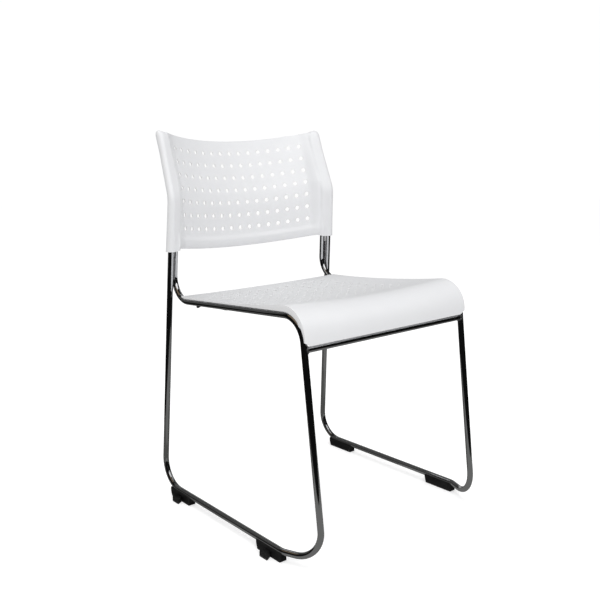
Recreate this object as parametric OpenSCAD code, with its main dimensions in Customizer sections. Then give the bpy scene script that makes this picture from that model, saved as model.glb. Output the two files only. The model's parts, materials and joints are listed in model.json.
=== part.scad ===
// Stacking chair: a solid rod sled frame with a perforated plastic seat and back.
// The right half of the frame is described and the left one is its mirror image.

/* [Frame rod] */
// Diameter of the solid rod that each side frame is bent from
rod_d = 12; // [10:0.5:14]
// Diameter of the two cross bars
bar_d = 11; // [8:0.5:13]
// Clear gap between the two uprights of a side
upright_gap = 1.8; // [1:0.1:4]
// Turn of the pair of uprights in plan, which sets the inner one rearward
pair_turn = 21; // [0:1:35]

/* [Sled base] */
// Distance between the rear and front floor corners of a side
foot_length = 490; // [420:5:540]
// Distance between the runners at the rear
foot_width = 452; // [420:2:480]
// How much further out each runner lies at its front end
toe_out = 6; // [0:0.5:12]
// How far a front leg stands inboard of the end of its runner
kink_in = 30; // [15:1:45]
// Distance from the kink in the runner to the front floor corner
kink_length = 77; // [65:1:100]
// Clear height under the runners, which the glides fill
runner_clear = 12; // [9:0.5:20]

/* [Legs and uprights] */
// Forward lean of the front legs towards the floor
front_leg_lean = 6.8; // [3:0.2:10]
// How much further out the front legs are at the seat
leg_spread = 2.5; // [0:0.5:6]
// Forward lean of the rear legs towards the seat
rear_leg_lean = 4.4; // [2:0.2:7]
// Inward lean of the rear legs towards the seat
rear_leg_in = 1.45; // [0.5:0.05:2.5]
// Distance of the bend in the uprights below the middle of the back's top edge
lumbar_drop = 111; // [95:1:125]
// Rearward lean of the uprights above that bend
upright_lean = 20; // [14:1:24]
// Inward lean of the uprights above that bend
upright_in = 2.7; // [0:0.1:5]
// Distance of the outer uprights' ends below the top of their sleeves
outer_stop = 16; // [12:1:40]
// Distance of the inner uprights' ends below the top of their sleeves
inner_stop = 70; // [55:1:95]

/* [Seat rails] */
// Height of the rail where its line meets the front leg
rail_front_z = 446; // [420:1:470]
// Slope of the rails down towards the rear
rail_slope = 3.95; // [2:0.05:6]
// Height of the front cross bar
front_bar_z = 389; // [360:1:395]
// Distance of the rear cross bar from the rear floor corner
rear_bar_back = 112; // [100:1:150]
// How far the rear cross bar's ends lie below the middle of the rails
rear_bar_low = 3; // [0:0.5:5]
// Drop of the middle of the rear cross bar, which clears the dished seat
rear_bar_drop = 17; // [12:1:24]

/* [Bend radii] */
// Rear floor bend
rear_foot_r = 56; // [30:1:70]
// Kink in the runner
kink_r = 28; // [15:1:40]
// Front floor bend
front_foot_r = 50; // [30:1:60]
// Bend from the front leg to the seat rail
knee_r = 47; // [35:1:55]
// Bend from the seat rail to the inner upright
hip_r = 48; // [30:1:60]
// Bend in the uprights behind the waist
lumbar_r = 130; // [80:5:180]
// Bends in the rear cross bar
bar_r = 22; // [14:1:30]

/* [Seat shell] */
// Width of the seat
seat_width = 417; // [410:1:430]
// Wall of the seat shell
seat_wall = 3.6; // [2.5:0.1:5]
// Distance of the seat's rear corners from the rear floor corner
seat_rear_back = 63; // [50:1:80]
// How far the middle of the rear edge stands out behind the corners
seat_rear_bow = 22; // [0:1:40]
// Height of the seat's edge above the rail at the rear
seat_rear_edge = 5; // [4:0.5:9]
// Height of the seat's edge above the rail in the middle of the side
seat_mid_edge = 3.6; // [3:0.1:8]
// Clearance between the shell and the inboard sides of the rails
rim_gap = 0.8; // [0.4:0.1:2]
// Depth of the dish in the middle of the seat
seat_dish = 14; // [4:1:18]
// Drop of the middle of the rear edge
seat_rear_dip = 7; // [0:1:10]
// Outer radius of the rolled front edge
roll_r = 55; // [50:1:60]
// Height of the centre of the rolled edge below the rail's front corner
roll_drop = 40; // [36:0.5:44]
// How far the front face of the seat stands in front of the legs
lip_proud = 3.4; // [2.8:0.2:8]
// Height of the lip above the centre of the front cross bar
lip_above_bar = 7.5; // [6.5:0.5:15]
// Cut at the two lower corners of the front face
lip_corner = 7; // [0:1:9]

/* [Back shell] */
// Height of the middle of the top edge
back_top_z = 739; // [720:1:760]
// Height of the middle of the bottom edge
back_low_z = 509; // [490:1:530]
// Wall of the back panel
back_wall = 3; // [2.5:0.1:5]
// Plan radius of the panel above the waist
back_r = 334; // [310:2:400]
// Growth of that radius for each millimetre below the waist
back_flatten = 0.75; // [0:0.05:1]
// Distance of the panel's middle behind the uprights at its bend
back_depth = 66.9; // [60:0.1:75]
// Distance of the bend across the panel below the bend in the uprights
waist_drop = 20; // [10:1:30]
// Rearward lean of the panel above its bend
back_lean = 16.3; // [12:0.1:20]
// Rearward lean of the panel below its bend
back_low_lean = 6.1; // [2:0.1:10]
// Rise of the panel's rows for each millimetre that they curve forward
row_rise = 0.32; // [0.2:0.02:0.4]
// How far the bottom edge rolls rearward
back_roll = 8; // [0:1:12]
// Height of the strip that the bottom roll takes
back_roll_h = 21; // [14:1:26]
// Height of the lower end of the sleeves
sleeve_low_z = 520; // [505:1:540]
// Wall of the sleeves round the uprights
sleeve_wall = 2.6; // [2:0.1:4]
// Extra wall at the mouth of the sleeves
mouth_extra = 1.4; // [0:0.1:3]

/* [Perforations] */
// Diameter of the holes
hole_d = 8; // [4:0.5:10]
// Spacing of the holes across the chair
hole_pitch = 24.7; // [20:0.1:30]
// Rows of holes in the back
back_rows = 7; // [3:1:7]
// Columns of holes in the back
back_cols = 15; // [5:2:15]
// Spacing of the rows of holes in the back
back_row_pitch = 27.7; // [20:0.1:30]
// Distance from the top edge to the first row of holes
back_first_row = 27; // [18:1:40]
// Rows of holes in the seat
seat_rows = 11; // [3:1:11]
// Columns of holes in the seat
seat_cols = 13; // [5:2:13]
// Spacing of the rows of holes in the seat
seat_row_pitch = 24.6; // [20:0.1:26]
// Distance from the rear edge to the first row of holes
seat_first_row = 42; // [30:1:50]

/* [Glides] */
// Length of a glide
glide_length = 74; // [50:1:76]
// Width of a glide across its runner
glide_width = 16; // [15:0.5:22]
// Distance from the rear floor corner to the middle of the rear glides
rear_glide_back = 72; // [70:1:120]
// Distance from the kink to the middle of the front glides
front_glide_back = 34; // [32:1:80]
// How far the ganging lug reaches out from the side of a glide
lug_reach = 13; // [6:0.5:18]
// Length of the ganging lug along the runner, at its outer end
lug_length = 24; // [15:1:34]
// How much shorter the lug's root is, so that it hooks a neighbour's lug
lug_hook = 8; // [0:1:10]
// Distance of the lug's middle in front of the glide's middle
lug_front = 4; // [-10:1:10]

/* [Fixings] */
// Diameter of the drive pins that hold the glides
pin_d = 4; // [3:0.5:5]
// Thread diameter of the seat screws
screw_d = 5; // [4:0.5:6]
// Thickness of the seat tabs
tab_t = 2.5; // [2:0.1:4]
// Distance of the rear seat tabs from the rear floor corner
rear_tab_back = 145; // [140:1:180]
// Distance of the front seat tabs from the rear floor corner
front_tab_back = 335; // [300:1:350]
// Distance of a seat screw from the centre line of its rail
tab_reach = 19; // [16:1:28]
// Height of the back screws above the sleeve mouths
back_screw_up = 15; // [12:1:60]
// Thread diameter of the back screws
back_screw_d = 4; // [3:0.5:5]
// Clearance between pieces that fit into each other
fit = 0.3; // [0.1:0.05:0.5]

/* [Hidden] */
$fn = 48;

// Bends are this much fatter than the straight rod, and straights run this far into them.
bend_swell = 0.06;
bend_lap = 0.5;
// Cutting shapes run this far past the faces they cut, and joined shapes this far into each other.
cut = 1;
join = 0.01;
// Room round a screw or pin in the hole that it passes through
screw_room = 0.5;
hole_depth = 30;

// Places that other pieces take their positions from
rod_r = rod_d / 2;
bar_rad = bar_d / 2;
runner_z = runner_clear + rod_r;
pair_step = rod_d + upright_gap;
pair_dx = pair_step * cos(pair_turn);
pair_dy = pair_step * sin(pair_turn);
rear_half = foot_width / 2;
front_half = rear_half + toe_out - kink_in;
knee_half = front_half + leg_spread;
lumbar_z = back_top_z - lumbar_drop;
back_waist_z = lumbar_z - waist_drop;
back_set = back_depth - (back_waist_z - runner_z) * tan(rear_leg_lean);
back_reach = back_set + (back_top_z - back_waist_z) * tan(back_lean) + back_wall * cos(back_lean);
front_reach = foot_length - front_foot_r * (tan(45 + front_leg_lean / 2) - 1) + rod_r;
rear_y = (front_reach - back_reach) / 2;
front_y = rear_y - foot_length;
kink_y = front_y + kink_length;
runner_run = foot_length - kink_length;
toe_angle = atan(toe_out / runner_run);

// Heights and places along the legs, rails and uprights
function front_leg_y(z) = front_y + (z - runner_z) * tan(front_leg_lean);
function front_leg_x(z) = front_half + leg_spread * (z - runner_z) / (rail_front_z - runner_z);
function rear_leg_y(z) = rear_y - (z - runner_z) * tan(rear_leg_lean);
function rear_leg_x(z) = rear_half - (z - runner_z) * tan(rear_leg_in);
function upper_y(z) = rear_leg_y(lumbar_z) + (z - lumbar_z) * tan(upright_lean);
function upper_x(z) = rear_leg_x(lumbar_z) - (z - lumbar_z) * tan(upright_in);
function upright_y(z) = z < lumbar_z ? rear_leg_y(z) : upper_y(z);
function upright_x(z) = z < lumbar_z ? rear_leg_x(z) : upper_x(z);
function upright(z) = [upright_x(z), upright_y(z), z];
// The sleeves reach just above the upper corners of the back panel, and the rods stop in them.
back_edge_x = upper_x(back_top_z) - pair_dx / 2;
back_top_sag = back_r - sqrt(pow(back_r, 2) - pow(back_edge_x, 2));
sleeve_top_z = back_top_z + row_rise * back_top_sag + 2;
outer_top_z = sleeve_top_z - outer_stop;
inner_top_z = sleeve_top_z - inner_stop;
knee_y = front_leg_y(rail_front_z);
function rail_z(y) = rail_front_z - (y - knee_y) * tan(rail_slope);
// The rail's line meets the inner upright's line here.
hip_z = (rail_front_z - (rear_leg_y(0) + pair_dy - knee_y) * tan(rail_slope))
    / (1 - tan(rear_leg_lean) * tan(rail_slope));
hip = [rear_leg_x(hip_z) - pair_dx, rear_leg_y(hip_z) + pair_dy, hip_z];
function rail_x(y) = knee_half + (hip.x - knee_half) * (y - knee_y) / (hip.y - knee_y);
inner_step = [-pair_dx, pair_dy, 0];

outer_path = [upright(outer_top_z), upright(lumbar_z), [rear_half, rear_y, runner_z]];
inner_path = [hip, upright(lumbar_z) + inner_step, upright(inner_top_z) + inner_step];
side_path = concat(outer_path, [
    [rear_half + toe_out, kink_y, runner_z],
    [front_half, front_y, runner_z],
    [knee_half, knee_y, rail_front_z]
], inner_path);
side_radii = [0, lumbar_r, rear_foot_r, kink_r, front_foot_r, knee_r, hip_r, lumbar_r, 0];

// Bent rod: straight cylinders joined by quarter-torus bends of their own radii
function unit(v) = v / norm(v);
function turn(path, i) = 180 - acos(unit(path[i - 1] - path[i]) * unit(path[i + 1] - path[i]));
function ends(i, last) = i == 0 || i == last;
function trim(path, radii, i) = ends(i, len(path) - 1) ? 0 : radii[i] * tan(turn(path, i) / 2);
function axes(u, w, o) = let (v = cross(w, u))
    [[u.x, v.x, w.x, o.x], [u.y, v.y, w.y, o.y], [u.z, v.z, w.z, o.z], [0, 0, 0, 1]];

module straight(a, b, d) {
    w = unit(b - a);
    side = abs(w.z) < 0.9 ? [0, 0, 1] : [1, 0, 0];
    multmatrix(axes(unit(cross(side, w)), w, a)) cylinder(d = d, h = norm(b - a));
}

module bend(path, radii, i, d) {
    a = unit(path[i - 1] - path[i]);
    b = unit(path[i + 1] - path[i]);
    centre = path[i] + unit(a + b) * radii[i] / cos(turn(path, i) / 2);
    start = path[i] + a * trim(path, radii, i);
    multmatrix(axes(unit(start - centre), unit(cross(-a, b)), centre))
        rotate_extrude(angle = turn(path, i))
            translate([radii[i], 0]) circle(d = d + bend_swell);
}

module bent_rod(path, radii, d) {
    last = len(path) - 1;
    for (i = [0 : last - 1]) {
        along = unit(path[i + 1] - path[i]);
        from = i == 0 ? 0 : trim(path, radii, i) - bend_lap;
        to = i + 1 == last ? 0 : trim(path, radii, i + 1) - bend_lap;
        straight(path[i] + along * from, path[i + 1] - along * to, d);
    }
    for (i = [1 : last - 1]) bend(path, radii, i, d);
}

// A closed skin between two grids of points, the outer one wound left to right, top to bottom
function cell(a, b, c, d) = [[a, b, c], [a, c, d]];
function grid_faces(n, m, at, out) = [
    for (i = [0 : n - 2], j = [0 : m - 2])
        let (a = at + i * m + j, b = a + 1, d = a + m, c = d + 1)
            each out ? cell(a, b, c, d) : cell(a, d, c, b)
];
function rim_faces(loop, step) = [
    for (k = [0 : len(loop) - 1])
        let (a = loop[k], b = loop[(k + 1) % len(loop)])
            each cell(b, a, a + step, b + step)
];
module skin(outer, inner) {
    n = len(outer);
    m = len(outer[0]);
    loop = concat([for (j = [0 : m - 1]) j], [for (i = [1 : n - 1]) i * m + m - 1],
        [for (j = [m - 2 : -1 : 0]) (n - 1) * m + j], [for (i = [n - 2 : -1 : 1]) i * m]);
    points = concat([for (row = outer) each row], [for (row = inner) each row]);
    polyhedron(points, concat(grid_faces(n, m, 0, true), grid_faces(n, m, n * m, false),
        rim_faces(loop, n * m)));
}

// Back panel: leaning, concave in plan, bent at the waist and rolled rearward at its foot.
// x is measured across and h up the middle of the panel.
function blend(t) = t <= -1 ? 0 : t >= 1 ? t : (t + 1) * (t + 1) / 4;
waist_soft = 22;
back_roll_z = back_low_z + back_roll_h;
function back_mid_y(h) = rear_y + back_set + (h - back_waist_z) * tan(back_low_lean)
    + waist_soft * blend((h - back_waist_z) / waist_soft) * (tan(back_lean) - tan(back_low_lean))
    + back_roll * pow(max(0, back_roll_z - h) / back_roll_h, 2);
function back_radius(h) = back_r + back_flatten * max(0, back_waist_z + waist_soft - h);
function back_sag(x, h) = back_radius(h) - sqrt(pow(back_radius(h), 2) - x * x);
function back_front(x, h) = let (sag = back_sag(x, h)) [x, back_mid_y(h) - sag, h + row_rise * sag];
function back_normal(x, h) = unit(cross(back_front(x + 1, h) - back_front(x - 1, h),
    back_front(x, h + 1) - back_front(x, h - 1)));
function back_rear(x, h) = back_front(x, h) - back_wall * back_normal(x, h);

// Rows of holes as many as fit above the rolled foot of the panel.
back_rows_room = (back_top_z - back_first_row - back_roll_z) / back_row_pitch;
back_row_count = min(back_rows, 1 + floor(back_rows_room));
// Rows and columns of the panel's skin run midway between the holes.
function half_steps(count) = [for (k = [0 : count]) k - count / 2];
function back_hole_x(j) = back_r * sin(hole_pitch * j / back_r * 180 / PI);
function back_hole_h(i) = i == 0 ? back_top_z - back_first_row
    : let (above = back_hole_h(i - 1))
        above - back_row_pitch * cos(above > back_waist_z ? back_lean : back_low_lean);
back_lines_x = concat([-back_edge_x], [for (j = half_steps(back_cols)) back_hole_x(j)], [back_edge_x]);
roll_steps = 5;
back_lines_h = concat(
    [back_top_z],
    [for (i = [0 : back_row_count - 1]) (back_hole_h(i) + back_hole_h(i) + back_row_pitch) / 2],
    [for (k = [0 : roll_steps]) back_roll_z - back_roll_h * k / roll_steps]);

module back_panel() {
    skin([for (h = back_lines_h) [for (x = back_lines_x) back_front(x, h)]],
        [for (h = back_lines_h) [for (x = back_lines_x) back_rear(x, h)]]);
}

// Sleeves: a stadium-shaped section round both uprights that follows them upwards
sleeve_sides = 28;
sleeve_rings = 12;
dome_rings = 4;
sleeve_r = rod_r + fit + sleeve_wall;
dome_z = sleeve_top_z - sleeve_r;
pair_taper = 0.65;
sleeve_deepen = 1.05;
dome_sweep = 80;
function sleeve_round(z) = z > dome_z
    ? sqrt(max(0, pow(sleeve_r, 2) - pow(z - dome_z, 2)))
    : sleeve_r + mouth_extra * pow(max(0, 1 - (z - sleeve_low_z) / (lumbar_z - sleeve_low_z)), 2);
function pair_share(z) = z < inner_top_z ? 1
    : 1 - (1 - pair_taper) * (z - inner_top_z) / inner_stop;
function sleeve_ring(z) = let (r = sleeve_round(z), share = pair_share(z), c = upright(z))
    [for (k = [0 : sleeve_sides - 1])
        let (a = pair_turn + 360 * (k + 0.5) / sleeve_sides,
            inner = cos(a - pair_turn) < 0 ? share : 0)
            c + [r * cos(a) - inner * pair_dx, sleeve_deepen * r * sin(a) + inner * pair_dy, 0]];
sleeve_heights = concat(
    [for (k = [0 : sleeve_rings]) sleeve_low_z + (dome_z - sleeve_low_z) * k / sleeve_rings],
    [for (k = [1 : dome_rings]) dome_z + sleeve_r * sin(dome_sweep * k / dome_rings)]);

module sleeve() {
    n = len(sleeve_heights);
    s = sleeve_sides;
    sides = [for (i = [0 : n - 2], k = [0 : s - 1])
        let (a = i * s + k, b = i * s + (k + 1) % s) each cell(a, a + s, b + s, b)];
    caps = [[for (k = [0 : s - 1]) k], [for (k = [s - 1 : -1 : 0]) (n - 1) * s + k]];
    polyhedron([for (z = sleeve_heights) each sleeve_ring(z)], concat(sides, caps));
}

// Seat: its side edge is a shallow curve that runs into the rolled front edge.
seat_half = seat_width / 2;
seat_rear_y = rear_y - seat_rear_back;
roll_z = rail_front_z - roll_drop;
lip_z = front_bar_z + lip_above_bar;
roll_y = front_leg_y(roll_z) - rod_r - lip_proud + roll_r;
roll_start = 9;
// Share of the dish's depth that is lost from its deepest row to the roll
dish_fade = 0.45;
edge_front = [roll_y + roll_r * sin(roll_start), roll_z + roll_r * cos(roll_start)];
edge_mid_z = 2 * (rail_z((seat_rear_y + edge_front.x) / 2) + rod_r + seat_mid_edge)
    - (edge_front[1] + rail_z(seat_rear_y) + rod_r + seat_rear_edge) / 2;
edge_rear_z = rail_z(seat_rear_y) + rod_r + seat_rear_edge;
// The dish runs out this far outside the front legs, whatever the width of the shell.
dish_out = 4;
dish_half = knee_half + dish_out;
function bow(x) = max(0, 1 - pow(x / dish_half, 2));
function curve(a, b, c, t) = a * (1 - t) * (1 - t) + 2 * b * t * (1 - t) + c * t * t;
function seat_back_y(x) = seat_rear_y + seat_rear_bow * bow(x);
function dish(t) = t < 0.5 ? seat_rear_dip + (seat_dish - seat_rear_dip) * sin(180 * t)
    : seat_dish * (1 - dish_fade * pow(2 * t - 1, 2));
function seat_top_z(x, t) = curve(edge_rear_z, edge_mid_z, edge_front[1], t) - dish(t) * bow(x);
function seat_flat(x, t) = [x, seat_back_y(x) + (edge_front.x - seat_back_y(x)) * t, seat_top_z(x, t)];
// Round the roll the dish dies away by the time the surface stands upright.
function seat_roll(x, a) = let (r = roll_r - dish(1) * bow(x) * pow(cos(a), 2))
    [x, roll_y - r * sin(a), roll_z + r * cos(a)];
function lip_end_z(x) = lip_z + lip_corner * max(0, (abs(x) - seat_rim_x) / (seat_half - seat_rim_x));
function seat_top(x, v) = v <= 1 ? seat_flat(x, v)
    : v <= 2 ? seat_roll(x, -roll_start + (90 + roll_start) * (v - 1))
    : [x, roll_y - roll_r, roll_z + (lip_end_z(x) - roll_z) * (v - 2)];
function seat_normal(x, v) = let (d = 0.01)
    unit(cross(seat_top(x + 1, v) - seat_top(x - 1, v), seat_top(x, v - d) - seat_top(x, v)));
function seat_under(x, v) = seat_top(x, v) - seat_wall * seat_normal(x, v);

// Underside of the rim, which lies on the rail, the bend and the leg
knee_trim = knee_r * tan((90 + rail_slope - front_leg_lean) / 2);
knee_centre = [knee_y + knee_trim * cos(rail_slope) - knee_r * sin(rail_slope),
    rail_front_z - knee_trim * sin(rail_slope) - knee_r * cos(rail_slope)];
seat_lift = 0.15;
roll_rows = 9;
roll_step = (90 + roll_start) / roll_rows;
knee_skin = (knee_r + rod_r + bend_swell + seat_lift) / cos(roll_step / 2);
hip_trim = hip_r * tan((90 + rail_slope + rear_leg_lean) / 2);
hip_start = hip.y - hip_trim * cos(rail_slope);
hip_centre_y = hip_start + hip_r * sin(rail_slope);
function rail_top(y) = rail_z(y) + (rod_r + seat_lift) / cos(rail_slope)
    + (y < hip_start ? 0 : hip_r - sqrt(pow(hip_r, 2) - pow(y - hip_start, 2)) + seat_lift);
// Distance from the roll's centre, along a ray at angle a from upright, to the rod's bend
function knee_reach(a) = let (
        off = knee_centre - [roll_y, roll_z],
        along = -off.x * sin(a) + off[1] * cos(a),
        across = norm(off) * norm(off) - along * along)
    along + sqrt(pow(knee_skin, 2) - across);
function seat_rim(x, v) = v <= 1
        ? let (p = seat_top(x, v)) [x, p.y, rail_top(p.y)]
    : v <= 2
        ? let (a = -roll_start + (90 + roll_start) * (v - 1))
            [x, roll_y - knee_reach(a) * sin(a), roll_z + knee_reach(a) * cos(a)]
    : let (z = roll_z + (lip_end_z(x) - roll_z) * (v - 2))
        [x, front_leg_y(z) - rod_r - 2 * seat_lift, z];

// The thick rim starts just inboard of the rails.
seat_rim_x = min(knee_half, hip.x) - rod_r - rim_gap;
rim_step = 2;
pan_rib = 14;
rim_lines = [seat_rim_x - pan_rib, seat_rim_x - rim_step, seat_rim_x, seat_half];
seat_lines_x = concat([for (k = [3 : -1 : 0]) -rim_lines[k]],
    [for (j = half_steps(seat_cols)) j * hole_pitch], rim_lines);
flat_steps = 13;
seat_lines_v = concat([for (k = [0 : flat_steps]) k / flat_steps],
    [for (k = [1 : roll_rows]) 1 + k / roll_rows], [3]);
function seat_low(x, v) = abs(x) > seat_rim_x - rim_step / 2 ? seat_rim(x, v) : seat_under(x, v);
function seat_hole_t(i) = (seat_first_row + i * seat_row_pitch) / (seat_back_y(0) - edge_front.x);

module seat_pan() {
    skin([for (v = seat_lines_v) [for (x = seat_lines_x) seat_top(x, v)]],
        [for (v = seat_lines_v) [for (x = seat_lines_x) seat_low(x, v)]]);
}

// A hole or pin that stands square to a surface: its axis is the surface's normal.
module square_to(point, normal) {
    multmatrix(axes(unit(cross([0, 1, 0.1], normal)), normal, point)) children();
}

// Seat fixings: a tab inboard of the rail, a boss above it and a screw from below
boss_d = screw_d + 8;
pilot_d = screw_d - 1;
tab_width = screw_d + 15;
head_d = screw_d * 1.9;
head_h = screw_d * 0.6;
screw_length = 14;
function tab_point(back) = let (y = rear_y - back) [rail_x(y), y, rail_z(y)];
function seat_z_at(x, y) = seat_top_z(x, (seat_back_y(x) - y) / (seat_back_y(x) - edge_front.x));
// Puts its children in the frame of a tab: the screw's axis is Z and the tab's top is at 0.
module at_tab(back) {
    p = tab_point(back);
    translate(p) rotate([-rail_slope, 0, 0]) translate([-tab_reach, 0, tab_t / 2]) children();
}
module seat_boss(back) {
    p = tab_point(back);
    top = seat_z_at(p.x - tab_reach, p.y) - p.z - tab_t / 2 - seat_wall / 2;
    at_tab(back) cylinder(d = boss_d, h = top);
}
module seat_tab(back) {
    color("silver") difference() {
        at_tab(back) translate([0, 0, -tab_t]) difference() {
            union() {
                cylinder(d = tab_width, h = tab_t);
                translate([0, -tab_width / 2, 0]) cube([tab_reach, tab_width, tab_t]);
            }
            translate([0, 0, -cut]) cylinder(d = screw_d + screw_room, h = tab_t + 2 * cut);
        }
        bent_rod(side_path, side_radii, rod_d);
    }
}
module seat_screw(back) {
    at_tab(back) {
        translate([0, 0, -tab_t - head_h]) cylinder(d = head_d, h = head_h);
        translate([0, 0, -tab_t - join])
            cylinder(d = pilot_d, h = screw_length - seat_screw_short(back));
    }
}
// The screw stops this far below the seat's top.
top_skin = 2;
function seat_screw_short(back) = let (p = tab_point(back))
    max(0, screw_length - tab_t - (seat_z_at(p.x - tab_reach, p.y) - p.z - tab_t / 2 - top_skin));

module seat_shell() {
    color("whitesmoke") difference() {
        union() {
            seat_pan();
            for (s = [-1, 1], back = [rear_tab_back, front_tab_back]) mirror([s < 0 ? 1 : 0, 0, 0])
                seat_boss(back);
        }
        for (i = [0 : seat_rows - 1], j = [0 : seat_cols - 1]) {
            x = (j - (seat_cols - 1) / 2) * hole_pitch;
            t = seat_hole_t(i);
            square_to(seat_top(x, t), seat_normal(x, t))
                translate([0, 0, -hole_depth / 2]) cylinder(d = hole_d, h = hole_depth);
        }
        for (s = [-1, 1], back = [rear_tab_back, front_tab_back]) mirror([s < 0 ? 1 : 0, 0, 0])
            at_tab(back) translate([0, 0, -cut])
                cylinder(d = pilot_d, h = screw_length - tab_t - seat_screw_short(back) + cut + fit);
    }
}

// Back fixings: a screw through each sleeve into the inner upright
screw_z = sleeve_low_z + back_screw_up;
back_head_d = back_screw_d * 1.9;
back_head_h = back_screw_d * 0.55;
back_screw_in = rod_d * 0.6;
function inner_at(z) = upright(z) + inner_step;
// Puts its children at the screw: Z runs rearward out of the sleeve from the inner rod's axis.
module at_back_screw() {
    translate(inner_at(screw_z)) rotate([-90, 0, 0]) children();
}
seat_of_head = sleeve_r - 1;
screw_tip = rod_r - back_screw_in;
module back_screw() {
    at_back_screw() {
        translate([0, 0, seat_of_head]) cylinder(d = back_head_d, h = back_head_h);
        translate([0, 0, screw_tip]) cylinder(d = back_screw_d, h = seat_of_head - screw_tip);
    }
}

module back_shell() {
    color("gainsboro") difference() {
        union() {
            back_panel();
            sleeve();
            mirror([1, 0, 0]) sleeve();
        }
        for (s = [0, 1]) mirror([s, 0, 0]) {
            bent_rod(outer_path_bore, [0, lumbar_r, 0], rod_d + 2 * fit);
            bent_rod(inner_path_bore, [0, lumbar_r, 0], rod_d + 2 * fit);
            at_back_screw() {
                cylinder(d = back_screw_d + screw_room, h = hole_depth);
                translate([0, 0, seat_of_head]) cylinder(d = back_head_d + 2 * screw_room, h = rod_d);
            }
        }
        for (i = [0 : back_row_count - 1], j = [0 : back_cols - 1]) {
            x = back_hole_x(j - (back_cols - 1) / 2);
            h = back_hole_h(i);
            square_to(back_front(x, h), back_normal(x, h))
                translate([0, 0, -hole_depth / 2]) cylinder(d = hole_d, h = hole_depth);
        }
    }
}
bore_low = sleeve_low_z - 5;
outer_path_bore = [upright(outer_top_z + fit), upright(lumbar_z), upright(bore_low)];
inner_path_bore = [inner_at(inner_top_z + fit), inner_at(lumbar_z), inner_at(bore_low)];

// Glides
front_glide_y = kink_y + front_glide_back;
rear_glide_y = rear_y - rear_glide_back;
function runner_x(y) = rear_half + toe_out * (rear_y - y) / runner_run;
pin_head_d = pin_d * 1.9;
pin_head_h = 2;
pin_recess = 4;
pin_in_rod = 7;
// A drilled hole runs this much past the pin or screw in it.
drill_end = 0.2;
heel_slope = 5;
foot_r = 1.5;
end_r = 2.5;
lug_r = 1.5;
saddle_room = 0.1;
// Puts its children under the runner: Y runs along it and Z starts at the floor.
module at_glide(y) {
    translate([runner_x(y), y, 0]) rotate([0, 0, toe_angle]) children();
}
// A rectangle from one corner to the other with rounded corners
module rounded(low, high, r) {
    hull() for (x = [low.x + r, high.x - r], y = [low.y + r, high.y - r])
        translate([x, y]) circle(r = r, $fn = 32);
}
// Side outline of a glide: its rear end slopes and both lower corners are round.
module glide_side(half) {
    hull() {
        translate([-half, runner_z - 1]) square([2 * half, 1]);
        translate([-half + foot_r, foot_r]) circle(r = foot_r, $fn = 32);
        translate([half - heel_slope - foot_r, foot_r]) circle(r = foot_r, $fn = 32);
    }
}
module glide(y) {
    half = glide_length / 2;
    wide = glide_width / 2;
    lug_end = wide + lug_reach;
    lug_half = lug_length / 2;
    lug_h = runner_clear * 0.85;
    lug_outline = [
        [0, -lug_front - lug_half + lug_hook], [wide, -lug_front - lug_half + lug_hook],
        [lug_end, -lug_front - lug_half], [lug_end, -lug_front + lug_half], [0, -lug_front + lug_half]];
    color("dimgray") difference() {
        at_glide(y) difference() {
            union() {
                intersection() {
                    linear_extrude(height = runner_z) rounded([-wide, -half], [wide, half], end_r);
                    translate([-wide, 0, 0]) rotate([90, 0, 90])
                        linear_extrude(height = glide_width) glide_side(half);
                }
                linear_extrude(height = lug_h)
                    offset(r = lug_r, $fn = 32) offset(delta = -lug_r) polygon(lug_outline);
            }
            translate([0, 0, -cut]) cylinder(d = pin_head_d + 2 * screw_room, h = pin_recess + cut);
            cylinder(d = pin_d + drill_end, h = runner_z);
        }
        bent_rod(side_path, side_radii, rod_d + saddle_room);
    }
}
module glide_pin(y) {
    at_glide(y) {
        translate([0, 0, pin_recess - pin_head_h]) cylinder(d = pin_head_d, h = pin_head_h);
        translate([0, 0, pin_recess - join])
            cylinder(d = pin_d, h = runner_clear + pin_in_rod - pin_recess);
    }
}

// Side frame: one rod, drilled for its fixings
module side_rod() {
    color("silver") difference() {
        bent_rod(side_path, side_radii, rod_d);
        for (y = [front_glide_y, rear_glide_y]) at_glide(y)
            translate([0, 0, runner_clear - cut]) cylinder(d = pin_d, h = pin_in_rod + cut + drill_end);
        at_back_screw() translate([0, 0, screw_tip - drill_end])
            cylinder(d = back_screw_d, h = seat_of_head - screw_tip);
    }
}

// Cross bars, coped to the rods that they are welded to
front_bar_y = front_leg_y(front_bar_z);
rear_bar_y = rear_y - rear_bar_back;
rear_bar_z = rail_z(rear_bar_y) - rear_bar_low;
rear_bar_half = rail_x(rear_bar_y);
bar_end = 21;
bar_slope = 51;
function rear_bar_point(in, drop, s) = [s * (rear_bar_half - in), rear_bar_y, rear_bar_z - drop];
rear_bar_path = [rear_bar_point(0, 0, -1), rear_bar_point(bar_end, 0, -1),
    rear_bar_point(bar_end + bar_slope, rear_bar_drop, -1),
    rear_bar_point(bar_end + bar_slope, rear_bar_drop, 1),
    rear_bar_point(bar_end, 0, 1), rear_bar_point(0, 0, 1)];

module both_rods() {
    for (s = [0, 1]) mirror([s, 0, 0]) children();
}
module front_cross_bar() {
    color("silver") difference() {
        translate([-front_leg_x(front_bar_z), front_bar_y, front_bar_z]) rotate([0, 90, 0])
            cylinder(d = bar_d, h = 2 * front_leg_x(front_bar_z));
        both_rods() bent_rod(side_path, side_radii, rod_d);
    }
}
module rear_cross_bar() {
    color("silver") difference() {
        bent_rod(rear_bar_path, [0, bar_r, bar_r, bar_r, bar_r, 0], bar_d);
        both_rods() bent_rod(side_path, side_radii, rod_d);
    }
}

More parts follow.
